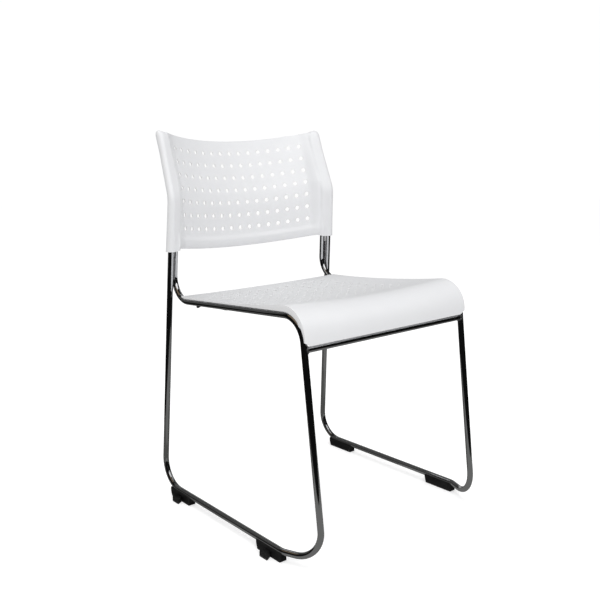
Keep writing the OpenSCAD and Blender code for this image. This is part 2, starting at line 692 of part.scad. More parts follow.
// Weld fillets: a cone of metal round the end of each bar, and a bead in each groove
weld_leg = 3;
weld_lap = 1.5;
weld_step = 0.4;
bead_sunk = 2;
module bar_weld(half, y, z) {
    color("darkgray") difference() {
        translate([half - rod_r - weld_leg, y, z]) rotate([0, 90, 0])
            cylinder(d1 = bar_d + weld_step, d2 = bar_d + 2 * weld_leg, h = weld_leg + weld_lap);
        translate([half - rod_r - weld_leg - cut, y, z]) rotate([0, 90, 0])
            cylinder(d = bar_d, h = rod_d);
        bent_rod(side_path, side_radii, rod_d);
    }
}
module front_bar_welds() {
    both_rods() bar_weld(front_leg_x(front_bar_z), front_bar_y, front_bar_z);
}
module rear_bar_welds() {
    both_rods() bar_weld(rear_bar_half, rear_bar_y, rear_bar_z);
}
weld_low_z = hip_z + 46;
weld_high_z = sleeve_low_z - 14;
bead_d = 4.4;
module upright_weld() {
    color("darkgray") difference() {
        for (s = [-1, 1]) {
            off = inner_step / 2 + s * (rod_r - bead_sunk) * [sin(pair_turn), cos(pair_turn), 0];
            straight(upright(weld_low_z) + off, upright(weld_high_z) + off, bead_d);
        }
        bent_rod(side_path, side_radii, rod_d);
    }
}

module left_side_rod() mirror([1, 0, 0]) side_rod();
module right_side_rod() side_rod();
module left_upright_weld() mirror([1, 0, 0]) upright_weld();
module right_upright_weld() upright_weld();
module rear_left_seat_tab() mirror([1, 0, 0]) seat_tab(rear_tab_back);
module rear_right_seat_tab() seat_tab(rear_tab_back);
module front_left_seat_tab() mirror([1, 0, 0]) seat_tab(front_tab_back);
module front_right_seat_tab() seat_tab(front_tab_back);
module rear_left_glide() mirror([1, 0, 0]) glide(rear_glide_y);
module rear_right_glide() glide(rear_glide_y);
module front_left_glide() mirror([1, 0, 0]) glide(front_glide_y);
module front_right_glide() glide(front_glide_y);
module glide_pins() {
    color("gray") both_rods() for (y = [front_glide_y, rear_glide_y]) glide_pin(y);
}
module seat_screws() {
    color("gray") both_rods() for (back = [rear_tab_back, front_tab_back]) seat_screw(back);
}
module back_screws() {
    color("gray") both_rods() back_screw();
}

left_side_rod();
right_side_rod();
front_cross_bar();
rear_cross_bar();
left_upright_weld();
right_upright_weld();
front_bar_welds();
rear_bar_welds();
rear_left_seat_tab();
rear_right_seat_tab();
front_left_seat_tab();
front_right_seat_tab();
seat_shell();
back_shell();
rear_left_glide();
rear_right_glide();
front_left_glide();
front_right_glide();
glide_pins();
seat_screws();
back_screws();
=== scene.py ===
# %% [markdown]
# # Stacking chair
# The chair is a sled frame of bent chromed rod, with a perforated seat and back moulded in white
# plastic. The exact CAD solids are loaded first, as a fixed frame that says where everything is.
# The visible pieces are then made finer than the solids can be, from the same sizes in metres.

import json
import math

import bmesh
import bpy
import numpy as np
from mathutils import Matrix, Vector

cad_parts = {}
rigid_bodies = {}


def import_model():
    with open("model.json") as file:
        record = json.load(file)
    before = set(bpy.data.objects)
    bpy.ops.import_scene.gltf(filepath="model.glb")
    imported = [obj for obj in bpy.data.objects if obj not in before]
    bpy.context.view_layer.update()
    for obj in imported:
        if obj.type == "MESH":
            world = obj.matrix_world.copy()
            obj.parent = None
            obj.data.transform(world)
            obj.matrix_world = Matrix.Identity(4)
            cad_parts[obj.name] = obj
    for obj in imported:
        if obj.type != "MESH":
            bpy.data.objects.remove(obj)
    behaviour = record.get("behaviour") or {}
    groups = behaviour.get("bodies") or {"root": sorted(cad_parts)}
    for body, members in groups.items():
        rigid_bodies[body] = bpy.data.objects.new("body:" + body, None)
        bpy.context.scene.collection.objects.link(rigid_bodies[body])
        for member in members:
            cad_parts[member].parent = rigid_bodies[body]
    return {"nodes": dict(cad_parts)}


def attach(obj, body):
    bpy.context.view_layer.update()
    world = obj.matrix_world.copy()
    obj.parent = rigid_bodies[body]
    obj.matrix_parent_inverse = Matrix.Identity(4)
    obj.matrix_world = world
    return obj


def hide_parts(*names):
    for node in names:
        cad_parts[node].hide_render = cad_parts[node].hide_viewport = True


for leftover in list(bpy.data.objects):
    bpy.data.objects.remove(leftover)
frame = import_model()
bpy.context.view_layer.update()
bpy.context.scene.view_settings.view_transform = "Standard"

# %% [markdown]
# ## The frame's lines
# Each side of the frame is one rod. It runs up behind the back, down the rear leg, along the floor,
# up the front leg, back under the seat and up again beside its own start. Every bend is where two
# straight lines meet, so the rod is told by its corners and the radius at each of them.

# %% Sizes of the frame
rod_r, bar_r, runner_z = 0.006, 0.0055, 0.018
pair_step, pair_turn = 0.0138, math.radians(21)
foot_length, rear_half, toe_out, kink_in, kink_length = 0.490, 0.226, 0.006, 0.030, 0.077
rail_front_z, front_bar_z, knee_spread = 0.446, 0.389, 0.0025
rear_bar_back, rear_bar_low, rear_bar_drop = 0.112, 0.003, 0.017
back_top_z, back_low_z, back_wall, back_depth, back_r = 0.739, 0.509, 0.003, 0.0669, 0.334
lumbar_drop, waist_drop, row_rise, sleeve_low_z = 0.111, 0.020, 0.32, 0.520
lumbar_z = back_top_z - lumbar_drop
waist_z = lumbar_z - waist_drop
lumbar_r, rear_foot_r, kink_r, front_foot_r = 0.130, 0.056, 0.028, 0.050
knee_r, hip_r, bar_bend_r = 0.047, 0.048, 0.022
front_angle, rear_angle, rail_angle, back_angle, back_low_angle = 6.8, 4.4, 3.95, 16.3, 6.1


def slope(degrees):
    return math.tan(math.radians(degrees))


front_lean, rear_lean, rear_in = slope(front_angle), slope(rear_angle), slope(1.45)
upright_lean, upright_in, rail_slope = slope(20), slope(2.7), slope(rail_angle)
back_lean, back_low_lean = slope(back_angle), slope(back_low_angle)
pair_dx, pair_dy = pair_step * math.cos(pair_turn), pair_step * math.sin(pair_turn)
front_half = rear_half + toe_out - kink_in
knee_half = front_half + knee_spread

# %% Where the chair stands in the shared frame
back_set = back_depth - (waist_z - runner_z) * rear_lean
back_wall_deep = back_wall * math.cos(math.radians(back_angle))
back_reach = back_set + (back_top_z - waist_z) * back_lean + back_wall_deep
front_reach = foot_length - front_foot_r * (slope(45 + front_angle / 2) - 1) + rod_r
rear_y = (front_reach - back_reach) / 2
front_y = rear_y - foot_length
kink_y = front_y + kink_length
print("rear floor corner at y =", round(rear_y, 5))

# %% Corners of one side rod
def rear_leg(z):
    return np.array([rear_half - (z - runner_z) * rear_in, rear_y - (z - runner_z) * rear_lean, z])


def upright(z):
    if z < lumbar_z:
        return rear_leg(z)
    return rear_leg(lumbar_z) + (z - lumbar_z) * np.array([-upright_in, upright_lean, 1])


def front_leg(z):
    x = front_half + knee_spread * (z - runner_z) / (rail_front_z - runner_z)
    return np.array([x, front_y + (z - runner_z) * front_lean, z])


knee = front_leg(rail_front_z)
inner_step = np.array([-pair_dx, pair_dy, 0])
rail_run = rear_leg(0)[1] + pair_dy - knee[1]
hip_z = (rail_front_z - rail_run * rail_slope) / (1 - rear_lean * rail_slope)
hip = rear_leg(hip_z) + inner_step
edge_x = upright(back_top_z)[0] - pair_dx / 2
dome_over, outer_under, inner_under = 0.002, 0.016, 0.070
sleeve_top_z = back_top_z + row_rise * (back_r - math.sqrt(back_r**2 - edge_x**2)) + dome_over
outer_top_z, inner_top_z = sleeve_top_z - outer_under, sleeve_top_z - inner_under


def rail(y):
    x = knee_half + (hip[0] - knee_half) * (y - knee[1]) / (hip[1] - knee[1])
    return np.array([x, y, rail_front_z - (y - knee[1]) * rail_slope])


side_corners = [
    upright(outer_top_z), upright(lumbar_z), (rear_half, rear_y, runner_z),
    (rear_half + toe_out, kink_y, runner_z), (front_half, front_y, runner_z), knee, hip,
    upright(lumbar_z) + inner_step, upright(inner_top_z) + inner_step]
side_bends = [0, lumbar_r, rear_foot_r, kink_r, front_foot_r, knee_r, hip_r, lumbar_r, 0]
print("side rod corners:", len(side_corners))

# %% Corners of the cross bars
front_bar = front_leg(front_bar_z)
rear_bar = rail(rear_y - rear_bar_back) - np.array([0, 0, rear_bar_low])
bar_inset, bar_dip_from, bar_dip_to = 0.003, 0.021, 0.072
front_bar_corners = [front_bar * (s, 1, 1) - np.array([s * bar_inset, 0, 0]) for s in (-1, 1)]
half_bar = [(rear_bar[0] - inward, rear_bar[1], rear_bar[2] - drop)
            for inward, drop in ((bar_inset, 0), (bar_dip_from, 0), (bar_dip_to, rear_bar_drop))]
rear_bar_corners = [(-x, y, z) for x, y, z in half_bar] + half_bar[::-1]
print("rear bar corners:", np.round(rear_bar_corners, 4).tolist())

# %% [markdown]
# ## Shared shader groups
# Two effects come back in several finishes. Fine grain is the tiny unevenness of a moulded or
# plated skin, and rubbed edges are the places that hands and other chairs touch when stacking.
# Each is a node group, built once, that each material places with its own values.

# %% Helpers for node trees
def group_tree(name, kind, inputs, outputs):
    tree = bpy.data.node_groups.new(name, kind)
    for label, sort, value in inputs:
        socket = tree.interface.new_socket(label, in_out="INPUT", socket_type="NodeSocket" + sort)
        if value is not None:
            socket.default_value = value
    for label, sort in outputs:
        tree.interface.new_socket(label, in_out="OUTPUT", socket_type="NodeSocket" + sort)
    return tree, tree.nodes.new("NodeGroupInput").outputs, tree.nodes.new("NodeGroupOutput").inputs


def add(tree, kind, settings=(), values=(), links=()):
    node = tree.nodes.new(kind)
    for key, value in dict(settings).items():
        setattr(node, key, value)
    for key, value in dict(values).items():
        node.inputs[key].default_value = value
    for key, source in dict(links).items():
        tree.links.new(source, node.inputs[key])
    return node


def maths(tree, operation, a, b, clamp=False):
    node = add(tree, "ShaderNodeMath", {"operation": operation, "use_clamp": clamp})
    for socket, value in zip(node.inputs, (a, b)):
        if isinstance(value, (int, float)):
            socket.default_value = value
        elif value is not None:
            tree.links.new(value, socket)
    return node.outputs[0]


# %% Fine grain
grain, grain_in, grain_out = group_tree(
    "fine_grain", "ShaderNodeTree",
    [("Grain Scale", "Float", 1400.0), ("Cloud Scale", "Float", 14.0), ("Contrast", "Float", 1.0)],
    [("Height", "Float"), ("Clouds", "Float")])
place = add(grain, "ShaderNodeTexCoord").outputs["Object"]
fine = add(grain, "ShaderNodeTexNoise", values={"Detail": 3.0, "Roughness": 0.6},
           links={"Vector": place, "Scale": grain_in["Grain Scale"]})
clouds = add(grain, "ShaderNodeTexNoise", values={"Detail": 4.0, "Roughness": 0.55},
             links={"Vector": place, "Scale": grain_in["Cloud Scale"]})
away = maths(grain, "SUBTRACT", clouds.outputs["Fac"], 0.5)
spread = maths(grain, "MULTIPLY", away, grain_in["Contrast"])
grain.links.new(fine.outputs["Fac"], grain_out["Height"])
grain.links.new(maths(grain, "ADD", spread, 0.5, clamp=True), grain_out["Clouds"])
print("shader group:", grain.name)

# %% Rubbed edges
rubbed, rubbed_in, rubbed_out = group_tree(
    "rubbed_edges", "ShaderNodeTree",
    [("Edge", "Float", 0.0), ("Amount", "Float", 0.5), ("Patch Scale", "Float", 60.0)],
    [("Mask", "Float")])
place = add(rubbed, "ShaderNodeTexCoord").outputs["Object"]
patches = add(rubbed, "ShaderNodeTexNoise", values={"Detail": 5.0, "Roughness": 0.65},
              links={"Vector": place, "Scale": rubbed_in["Patch Scale"]})
broken = maths(rubbed, "MULTIPLY", rubbed_in["Edge"], patches.outputs["Fac"])
strong = maths(rubbed, "MULTIPLY", broken, rubbed_in["Amount"])
rubbed.links.new(maths(rubbed, "MULTIPLY", strong, 2.0, clamp=True), rubbed_out["Mask"])
print("shader group:", rubbed.name)

# %% [markdown]
# ## Finishes
# White polypropylene has a satin skin: its gloss is broken by a fine spark-eroded texture. Chrome
# is nearly a mirror, with faint clouds where it was polished. The glides are matt black nylon, and
# the hidden screws are bright zinc. Each finish varies a little in colour and gloss over a surface.

# %% A finish from two colours, a range of roughness and a bump
# Blender's Pointiness is 0.5 where a surface is flat and more on its edges
flat_point, point_gain, cloud_contrast = 0.52, 12.0, 1.6


def finish(name, colour, second, rough, *, grain_scale, bump, edge_amount, metallic=0.0,
           cloud_scale=14.0, depth=0.0001, worn=None, edge_name=None, shine=0.5):
    made = bpy.data.materials.new(name)
    made.use_nodes = True
    tree = made.node_tree
    skin = tree.nodes["Principled BSDF"]
    skin.inputs["Metallic"].default_value = metallic
    skin.inputs["Specular IOR Level"].default_value = shine
    texture = add(tree, "ShaderNodeGroup", {"node_tree": grain}, {
        "Grain Scale": grain_scale, "Cloud Scale": cloud_scale, "Contrast": cloud_contrast})
    tint = add(tree, "ShaderNodeMix", {"data_type": "RGBA"},
               {"A": (*colour, 1), "B": (*second, 1)}, {"Factor": texture.outputs["Clouds"]})
    if edge_name:
        source = add(tree, "ShaderNodeAttribute", {"attribute_name": edge_name}).outputs["Fac"]
    else:
        pointed = add(tree, "ShaderNodeNewGeometry").outputs["Pointiness"]
        sharp = maths(tree, "SUBTRACT", pointed, flat_point, clamp=True)
        source = maths(tree, "MULTIPLY", sharp, point_gain)
    edge = add(tree, "ShaderNodeGroup", {"node_tree": rubbed}, {"Amount": edge_amount},
               {"Edge": source})
    shown = add(tree, "ShaderNodeMix", {"data_type": "RGBA"}, {"B": (*(worn or colour), 1)},
                {"Factor": edge.outputs["Mask"], "A": tint.outputs["Result"]})
    tree.links.new(shown.outputs["Result"], skin.inputs["Base Color"])
    gloss = add(tree, "ShaderNodeMapRange", values={"To Min": rough[0], "To Max": rough[1]},
                links={"Value": texture.outputs["Clouds"]})
    tree.links.new(gloss.outputs["Result"], skin.inputs["Roughness"])
    relief = add(tree, "ShaderNodeBump", values={"Strength": bump, "Distance": depth},
                 links={"Height": texture.outputs["Height"]})
    tree.links.new(relief.outputs["Normal"], skin.inputs["Normal"])
    return made


white = finish("white_polypropylene", (0.795, 0.80, 0.815), (0.765, 0.77, 0.785), (0.36, 0.46),
               grain_scale=1500, bump=0.25, depth=0.00012, worn=(0.80, 0.80, 0.80),
               edge_amount=0.5, edge_name="edge")
chrome = finish("polished_chrome", (0.62, 0.625, 0.635), (0.56, 0.565, 0.575), (0.04, 0.09),
                metallic=1.0, grain_scale=500, cloud_scale=30, bump=0.03,
                worn=(0.45, 0.45, 0.46), edge_amount=0.3)
weld = finish("plated_weld", (0.34, 0.34, 0.35), (0.25, 0.25, 0.26), (0.14, 0.28), metallic=1.0,
              grain_scale=900, cloud_scale=160, bump=0.2, edge_amount=0.3)
black = finish("black_nylon", (0.003, 0.003, 0.0032), (0.006, 0.006, 0.0063), (0.38, 0.55),
               grain_scale=1100, cloud_scale=45, bump=0.35, depth=0.0002,
               worn=(0.03, 0.03, 0.03), edge_amount=0.6, shine=0.1)
zinc = finish("bright_zinc", (0.52, 0.53, 0.55), (0.44, 0.44, 0.43), (0.24, 0.40), metallic=1.0,
              grain_scale=1200, cloud_scale=120, bump=0.15, worn=(0.62, 0.62, 0.62),
              edge_amount=0.5)
print("finishes:", [m.name for m in (white, chrome, weld, black, zinc)])

# %% [markdown]
# ## Bent rods and bars
# A rod is a circle that is swept along its line. The line is drawn as straight edges between the
# corners, and Geometry Nodes rounds each corner by its own radius and sweeps the circle along it.
# That keeps every bend true and lets the number of facets be chosen in one place.

# %% Helpers that make a mesh and hand a finished piece over
def new_object(name, data):
    made = bpy.data.objects.new(name, data)
    bpy.context.scene.collection.objects.link(made)
    return made


def mesh_object(name, points, edges=(), faces=(), material=None):
    data = bpy.data.meshes.new(name)
    data.from_pydata([tuple(map(float, p)) for p in points], [tuple(e) for e in edges],
                     [tuple(f) for f in faces])
    if material:
        data.materials.append(material)
    return new_object(name, data)


def smooth_below(made, degrees):
    made.data.shade_smooth()
    made.data.set_sharp_from_angle(angle=math.radians(degrees))


def hand_over(made, node):
    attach(made, "root")
    if node:
        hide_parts(node)
    print(made.name, len(made.data.polygons), "faces")


def line_mesh(name, lines, closed=False):
    points, edges = [], []
    for line in lines:
        start = len(points)
        points += list(line)
        edges += [(start + k, start + k + 1) for k in range(len(line) - 1)]
        if closed:
            edges.append((len(points) - 1, start))
    return mesh_object(name, points, edges)


# %% Helpers that build a geometry tree and grow it on a mesh
def store(obj, name, kind, values):
    field = {"FLOAT": "value", "FLOAT_VECTOR": "vector"}[kind]
    attribute = obj.data.attributes.new(name, kind, "POINT")
    attribute.data.foreach_set(field, np.asarray(values, np.float32).ravel())


def grow(obj, tree, values):
    modifier = obj.modifiers.new("grow", "NODES")
    modifier.node_group = tree
    for item in tree.interface.items_tree:
        if item.in_out == "INPUT" and item.name in values:
            modifier[item.identifier] = values[item.name]
    bpy.context.view_layer.update()
    grown = obj.evaluated_get(bpy.context.evaluated_depsgraph_get())
    mesh = bpy.data.meshes.new_from_object(grown)
    obj.modifiers.remove(modifier)
    obj.data = mesh
    return obj


def geometry_tree(name, *inputs):
    first, last = ("Geometry", "Geometry", None), ("Finish", "Material", None)
    return group_tree(name, "GeometryNodeTree", [first, *inputs, last], [("Geometry", "Geometry")])


def stored(tree, kind, name):
    node = add(tree, "GeometryNodeInputNamedAttribute", {"data_type": kind}, {"Name": name})
    return node.outputs["Attribute"]


def end_tree(tree, given, result, shape, smooth=True):
    if smooth:
        shape = add(tree, "GeometryNodeSetShadeSmooth", links={"Geometry": shape}).outputs[0]
    real = add(tree, "GeometryNodeRealizeInstances", links={"Geometry": shape})
    painted = add(tree, "GeometryNodeSetMaterial",
                  links={"Geometry": real.outputs["Geometry"], "Material": given["Finish"]})
    tree.links.new(painted.outputs["Geometry"], result["Geometry"])
    print(tree.name, "tree:", len(tree.nodes), "nodes")


# %% The node tree that bends and sweeps a rod
sweep, sweep_in, sweep_out = geometry_tree(
    "bent_rod", ("Rod Radius", "Float", rod_r), ("Round Sides", "Int", 32),
    ("Steps In A Bend", "Int", 20))
line = add(sweep, "GeometryNodeMeshToCurve", links={"Mesh": sweep_in["Geometry"]})
bent = add(sweep, "GeometryNodeFilletCurve", {"mode": "POLY"}, {"Limit Radius": True},
           {"Curve": line.outputs["Curve"], "Count": sweep_in["Steps In A Bend"],
            "Radius": stored(sweep, "FLOAT", "bend_radius")})
circle = add(sweep, "GeometryNodeCurvePrimitiveCircle",
             links={"Resolution": sweep_in["Round Sides"], "Radius": sweep_in["Rod Radius"]})
tube = add(sweep, "GeometryNodeCurveToMesh", values={"Fill Caps": True},
           links={"Curve": bent.outputs["Curve"], "Profile Curve": circle.outputs["Curve"]})
end_tree(sweep, sweep_in, sweep_out, tube.outputs["Mesh"])

# %% Sweep the rods and bars
def bent_rod(name, corners, bends, radius, node):
    made = line_mesh(name, [corners])
    store(made, "bend_radius", "FLOAT", bends)
    grow(made, sweep, {"Rod Radius": radius, "Finish": chrome})
    made.data.set_sharp_from_angle(angle=math.radians(50))
    hand_over(made, node)


for side, word in ((-1, "left"), (1, "right")):
    corners = [np.array(c) * (side, 1, 1) for c in side_corners]
    bent_rod(word + "_bent_rod", corners, side_bends, rod_r, word + "_side_rod")
bent_rod("front_bar", front_bar_corners, [0, 0], bar_r, "front_cross_bar")
bent_rod("rear_bar", rear_bar_corners, [0] + [bar_bend_r] * 4 + [0], bar_r, "rear_cross_bar")

# %% [markdown]
# ## Weld beads
# A weld is a row of overlapping ripples that the torch leaves as it moves along a joint. A bead
# runs in each groove between the two uprights, and round each bar's end where it meets a rod. One
# node tree lays flattened drops along any line, over a thin core that closes the gaps between them.

# %% The node tree that lays a weld bead
bead, bead_in, bead_out = geometry_tree(
    "weld_bead", ("Bead Radius", "Float", 0.002), ("Ripple Step", "Float", 0.0016))
line = add(bead, "GeometryNodeMeshToCurve", links={"Mesh": bead_in["Geometry"]})
even = add(bead, "GeometryNodeResampleCurve", {"mode": "LENGTH"},
           links={"Curve": line.outputs["Curve"], "Length": bead_in["Ripple Step"]})
drop = add(bead, "GeometryNodeMeshUVSphere", values={"Segments": 14, "Rings": 8},
           links={"Radius": bead_in["Bead Radius"]})
flat = add(bead, "GeometryNodeTransform", values={"Scale": (1, 1, 0.62)},
           links={"Geometry": drop.outputs["Mesh"]})
along = add(bead, "FunctionNodeAlignRotationToVector", {"axis": "Z"},
            links={"Vector": add(bead, "GeometryNodeInputTangent").outputs["Tangent"]})
uneven = add(bead, "FunctionNodeRandomValue", {"data_type": "FLOAT"},
             {"Min": 0.9, "Max": 1.08, "Seed": 3})
laid = add(bead, "GeometryNodeInstanceOnPoints",
           links={"Points": even.outputs["Curve"], "Instance": flat.outputs["Geometry"],
                  "Rotation": along.outputs["Rotation"], "Scale": uneven.outputs[1]})
core_round = add(bead, "GeometryNodeCurvePrimitiveCircle", values={"Resolution": 12},
                 links={"Radius": maths(bead, "MULTIPLY", bead_in["Bead Radius"], 0.8)})
core = add(bead, "GeometryNodeCurveToMesh", values={"Fill Caps": True},
           links={"Curve": even.outputs["Curve"], "Profile Curve": core_round.outputs["Curve"]})
whole = add(bead, "GeometryNodeJoinGeometry")
bead.links.new(laid.outputs["Instances"], whole.inputs[0])
bead.links.new(core.outputs["Mesh"], whole.inputs[0])
end_tree(bead, bead_in, bead_out, whole.outputs["Geometry"])

# %% Weld lines along the uprights and round the bars
def weld_piece(name, node, lines, radius, step, closed=False):
    made = line_mesh(name, lines, closed)
    grow(made, bead, {"Bead Radius": radius, "Ripple Step": step, "Finish": weld})
    hand_over(made, node)


bead_off_bar, bead_off_rod = 0.0006, 0.0004
bead_sunk, bead_above_hip, bead_below_sleeve = 0.002, 0.046, 0.014


def saddle(middle, around_z):
    turns = np.linspace(0, 2 * math.pi, 36, endpoint=False)
    up, out = (bar_r + bead_off_bar) * np.cos(turns), (bar_r + bead_off_bar) * np.sin(turns)
    across = out if around_z else up
    reach = np.sqrt(np.maximum((rod_r + bead_off_rod) ** 2 - across**2, 0))
    return np.stack([middle[0] - reach, middle[1] + out, middle[2] + up], 1)


groove = np.array([math.sin(pair_turn), math.cos(pair_turn), 0]) * (rod_r - bead_sunk)
bead_from, bead_to = hip_z + bead_above_hip, sleeve_low_z - bead_below_sleeve
bead_ends = [upright(z) + inner_step / 2 for z in (bead_from, bead_to)]
for side, word in ((-1, "left"), (1, "right")):
    lines = [[(end + s * groove) * (side, 1, 1) for end in bead_ends] for s in (-1, 1)]
    weld_piece(word + "_upright_bead", word + "_upright_weld", lines, radius=0.0022, step=0.0016)
for word, middle, around_z in (("front", front_bar, True), ("rear", rear_bar, False)):
    ring = saddle(middle, around_z)
    weld_piece(word + "_bar_beads", word + "_bar_welds", [ring, ring * (-1, 1, 1)],
               radius=0.0017, step=0.0015, closed=True)

# %% [markdown]
# ## A perforated sheet
# Seat and back have the same idea: a curved shell with rows of round holes. A flat sheet is made
# first, on a grid where each hole has a tile of ten by ten cells. The middle cells of a tile are
# cut out and the rest are drawn towards a circle. The sheet is counted in cells, so the same tree
# makes both shells, and each shell then bends its sheet onto its own surface.

# %% Sums and vectors in the sheet's node tree
tile, hole_ring = 10, 3
sheet, sheet_in, sheet_out = geometry_tree(
    "perforated_sheet", ("Columns", "Int", 5), ("Rows", "Int", 5), ("Side Cells", "Int", 4),
    ("First Cells", "Int", 4), ("Last Cells", "Int", 4), ("Hole Radius", "Float", 1.4),
    ("Hole Height Share", "Float", 1.0))


def reckon(operation, a, b=None):
    return maths(sheet, operation, a, b)


def vector(operation, a, b=None, scale=None):
    node = add(sheet, "ShaderNodeVectorMath", {"operation": operation}, links={0: a})
    if b is not None:
        sheet.links.new(b, node.inputs[1])
    if scale is not None:
        sheet.links.new(scale, node.inputs["Scale"])
    return node.outputs[0]


# %% A grid of cells, and each point's place in its tile
field_x = reckon("MULTIPLY", sheet_in["Columns"], tile)
field_y = reckon("MULTIPLY", sheet_in["Rows"], tile)
cells_x = reckon("ADD", field_x, reckon("MULTIPLY", sheet_in["Side Cells"], 2))
cells_y = reckon("ADD", field_y, reckon("ADD", sheet_in["First Cells"], sheet_in["Last Cells"]))
flat = add(sheet, "GeometryNodeMeshGrid",
           links={"Size X": cells_x, "Size Y": cells_y, "Vertices X": reckon("ADD", cells_x, 1),
                  "Vertices Y": reckon("ADD", cells_y, 1)})
position = add(sheet, "GeometryNodeInputPosition").outputs["Position"]
spot = add(sheet, "ShaderNodeSeparateXYZ", links={"Vector": position})
from_left = reckon("ADD", spot.outputs["X"], reckon("MULTIPLY", field_x, 0.5))
from_first = reckon("SUBTRACT", reckon("ADD", spot.outputs["Y"], reckon("MULTIPLY", cells_y, 0.5)),
                    sheet_in["First Cells"])


def in_tile(value):
    return reckon("SUBTRACT", reckon("FLOORED_MODULO", reckon("ROUND", value), tile), tile / 2)


def inside(value, length):
    above = reckon("GREATER_THAN", value, 0.5)
    return reckon("MULTIPLY", above, reckon("LESS_THAN", value, reckon("SUBTRACT", length, 0.5)))


tile_x, tile_y = in_tile(from_left), in_tile(from_first)
local = add(sheet, "ShaderNodeCombineXYZ", links={"X": tile_x, "Y": tile_y}).outputs[0]
ring = reckon("MAXIMUM", reckon("ABSOLUTE", tile_x), reckon("ABSOLUTE", tile_y))
in_field = reckon("MULTIPLY", inside(from_left, field_x), inside(from_first, field_y))
cut_out = reckon("MULTIPLY", in_field, reckon("LESS_THAN", ring, hole_ring - 0.5))

# %% Cut the holes and draw the cells round them towards a circle
safe_ring = reckon("MAXIMUM", ring, 1)
eighth_turn = reckon("DIVIDE", math.pi / 4, safe_ring)
round_way = vector("NORMALIZE", vector("TANGENT", vector("SCALE", local, scale=eighth_turn)))
hole_up = reckon("MULTIPLY", sheet_in["Hole Radius"], sheet_in["Hole Height Share"])
hole_size = add(sheet, "ShaderNodeCombineXYZ", links={"X": sheet_in["Hole Radius"], "Y": hole_up})
on_hole = vector("MULTIPLY", round_way, hole_size.outputs[0])
on_tile = vector("SCALE", local, scale=reckon("DIVIDE", tile / 2, safe_ring))
share = reckon("DIVIDE", reckon("SUBTRACT", ring, hole_ring), tile / 2 - hole_ring)
drawn = add(sheet, "ShaderNodeMix", {"data_type": "VECTOR"},
            links={0: share, 4: on_hole, 5: on_tile})  # 4 and 5 are its two vectors
holed = add(sheet, "GeometryNodeDeleteGeometry", {"domain": "POINT"},
            links={"Geometry": flat.outputs["Mesh"], "Selection": cut_out})
shaped = add(sheet, "GeometryNodeSetPosition",
             links={"Geometry": holed.outputs["Geometry"], "Selection": in_field,
                    "Offset": vector("SUBTRACT", drawn.outputs[1], local)})
end_tree(sheet, sheet_in, sheet_out, shaped.outputs["Geometry"], smooth=False)

# %% [markdown]
# ## From a flat sheet to a closed shell
# A moulded shell has a front skin, a rear skin and a narrow wall round its rim and round each hole.
# The sheet is bent twice, once onto each skin, and the two are joined along every open edge. The
# edges of the rim and of the holes are then rounded, each by its own share of one bevel.

# %% Flat sheet in cells, and the closed shell made from it
def flat_sheet(columns, rows, side_cells, first_cells, last_cells, hole_cells, height_share):
    made = grow(mesh_object("flat_sheet", [(0, 0, 0)]), sheet, {
        "Columns": columns, "Rows": rows, "Side Cells": side_cells, "First Cells": first_cells,
        "Last Cells": last_cells, "Hole Radius": hole_cells, "Hole Height Share": height_share,
        "Finish": white})
    cells = np.array([v.co[:2] for v in made.data.vertices])
    cells[:, 1] += (rows * tile + first_cells + last_cells) / 2
    faces = [list(p.vertices)[::-1] for p in made.data.polygons]  # bending turns the sheet over
    bpy.data.objects.remove(made)
    return cells, faces


def open_edges(faces):
    seen = {}
    for face in faces:
        for a, b in zip(face, face[1:] + face[:1]):
            pair = (min(a, b), max(a, b))
            seen[pair] = None if pair in seen else (a, b)
    return [pair for pair in seen.values() if pair]


def closed_shell(name, faces, outer, inner, width, hole_share, on_rim, on_seam=False):
    count = len(outer)
    walls = [(b, a, a + count, b + count) for a, b in open_edges(faces)]
    every = faces + [[v + count for v in reversed(f)] for f in faces] + walls
    made = mesh_object(name, np.concatenate([outer, inner]), faces=every, material=white)
    weight = np.where(on_seam, 0.0, np.where(on_rim, 1.0, hole_share))
    rims = {v: weight[v % count] for w in walls for v in w}
    weights = np.zeros(len(made.data.edges), np.float32)
    wall_edges = {tuple(sorted(e)) for w in walls for e in (w[:2], w[2:])}
    for edge in made.data.edges:
        if tuple(sorted(edge.vertices)) in wall_edges:
            weights[edge.index] = min(rims[v] for v in edge.vertices)
    bevel = made.data.attributes.new("bevel_weight_edge", "FLOAT", "EDGE")
    bevel.data.foreach_set("value", weights)
    near_edge = np.zeros(2 * count, np.float32)
    near_edge[list(rims)] = 1
    store(made, "edge", "FLOAT", near_edge)
    rounded = made.modifiers.new("rounded_edges", "BEVEL")
    rounded.limit_method, rounded.width, rounded.segments = "WEIGHT", width, 3
    made.data.shade_smooth()
    return made


# %% [markdown]
# ## Seat shell
# The seat is dished in its middle, and its front edge rolls down in front of the cross bar. Its
# rim is thicker than the pan and lies on the rails. The surface is a rule, with one value across
# and one from the rear edge to the lip, so each cell of the sheet is simply given its place on it.

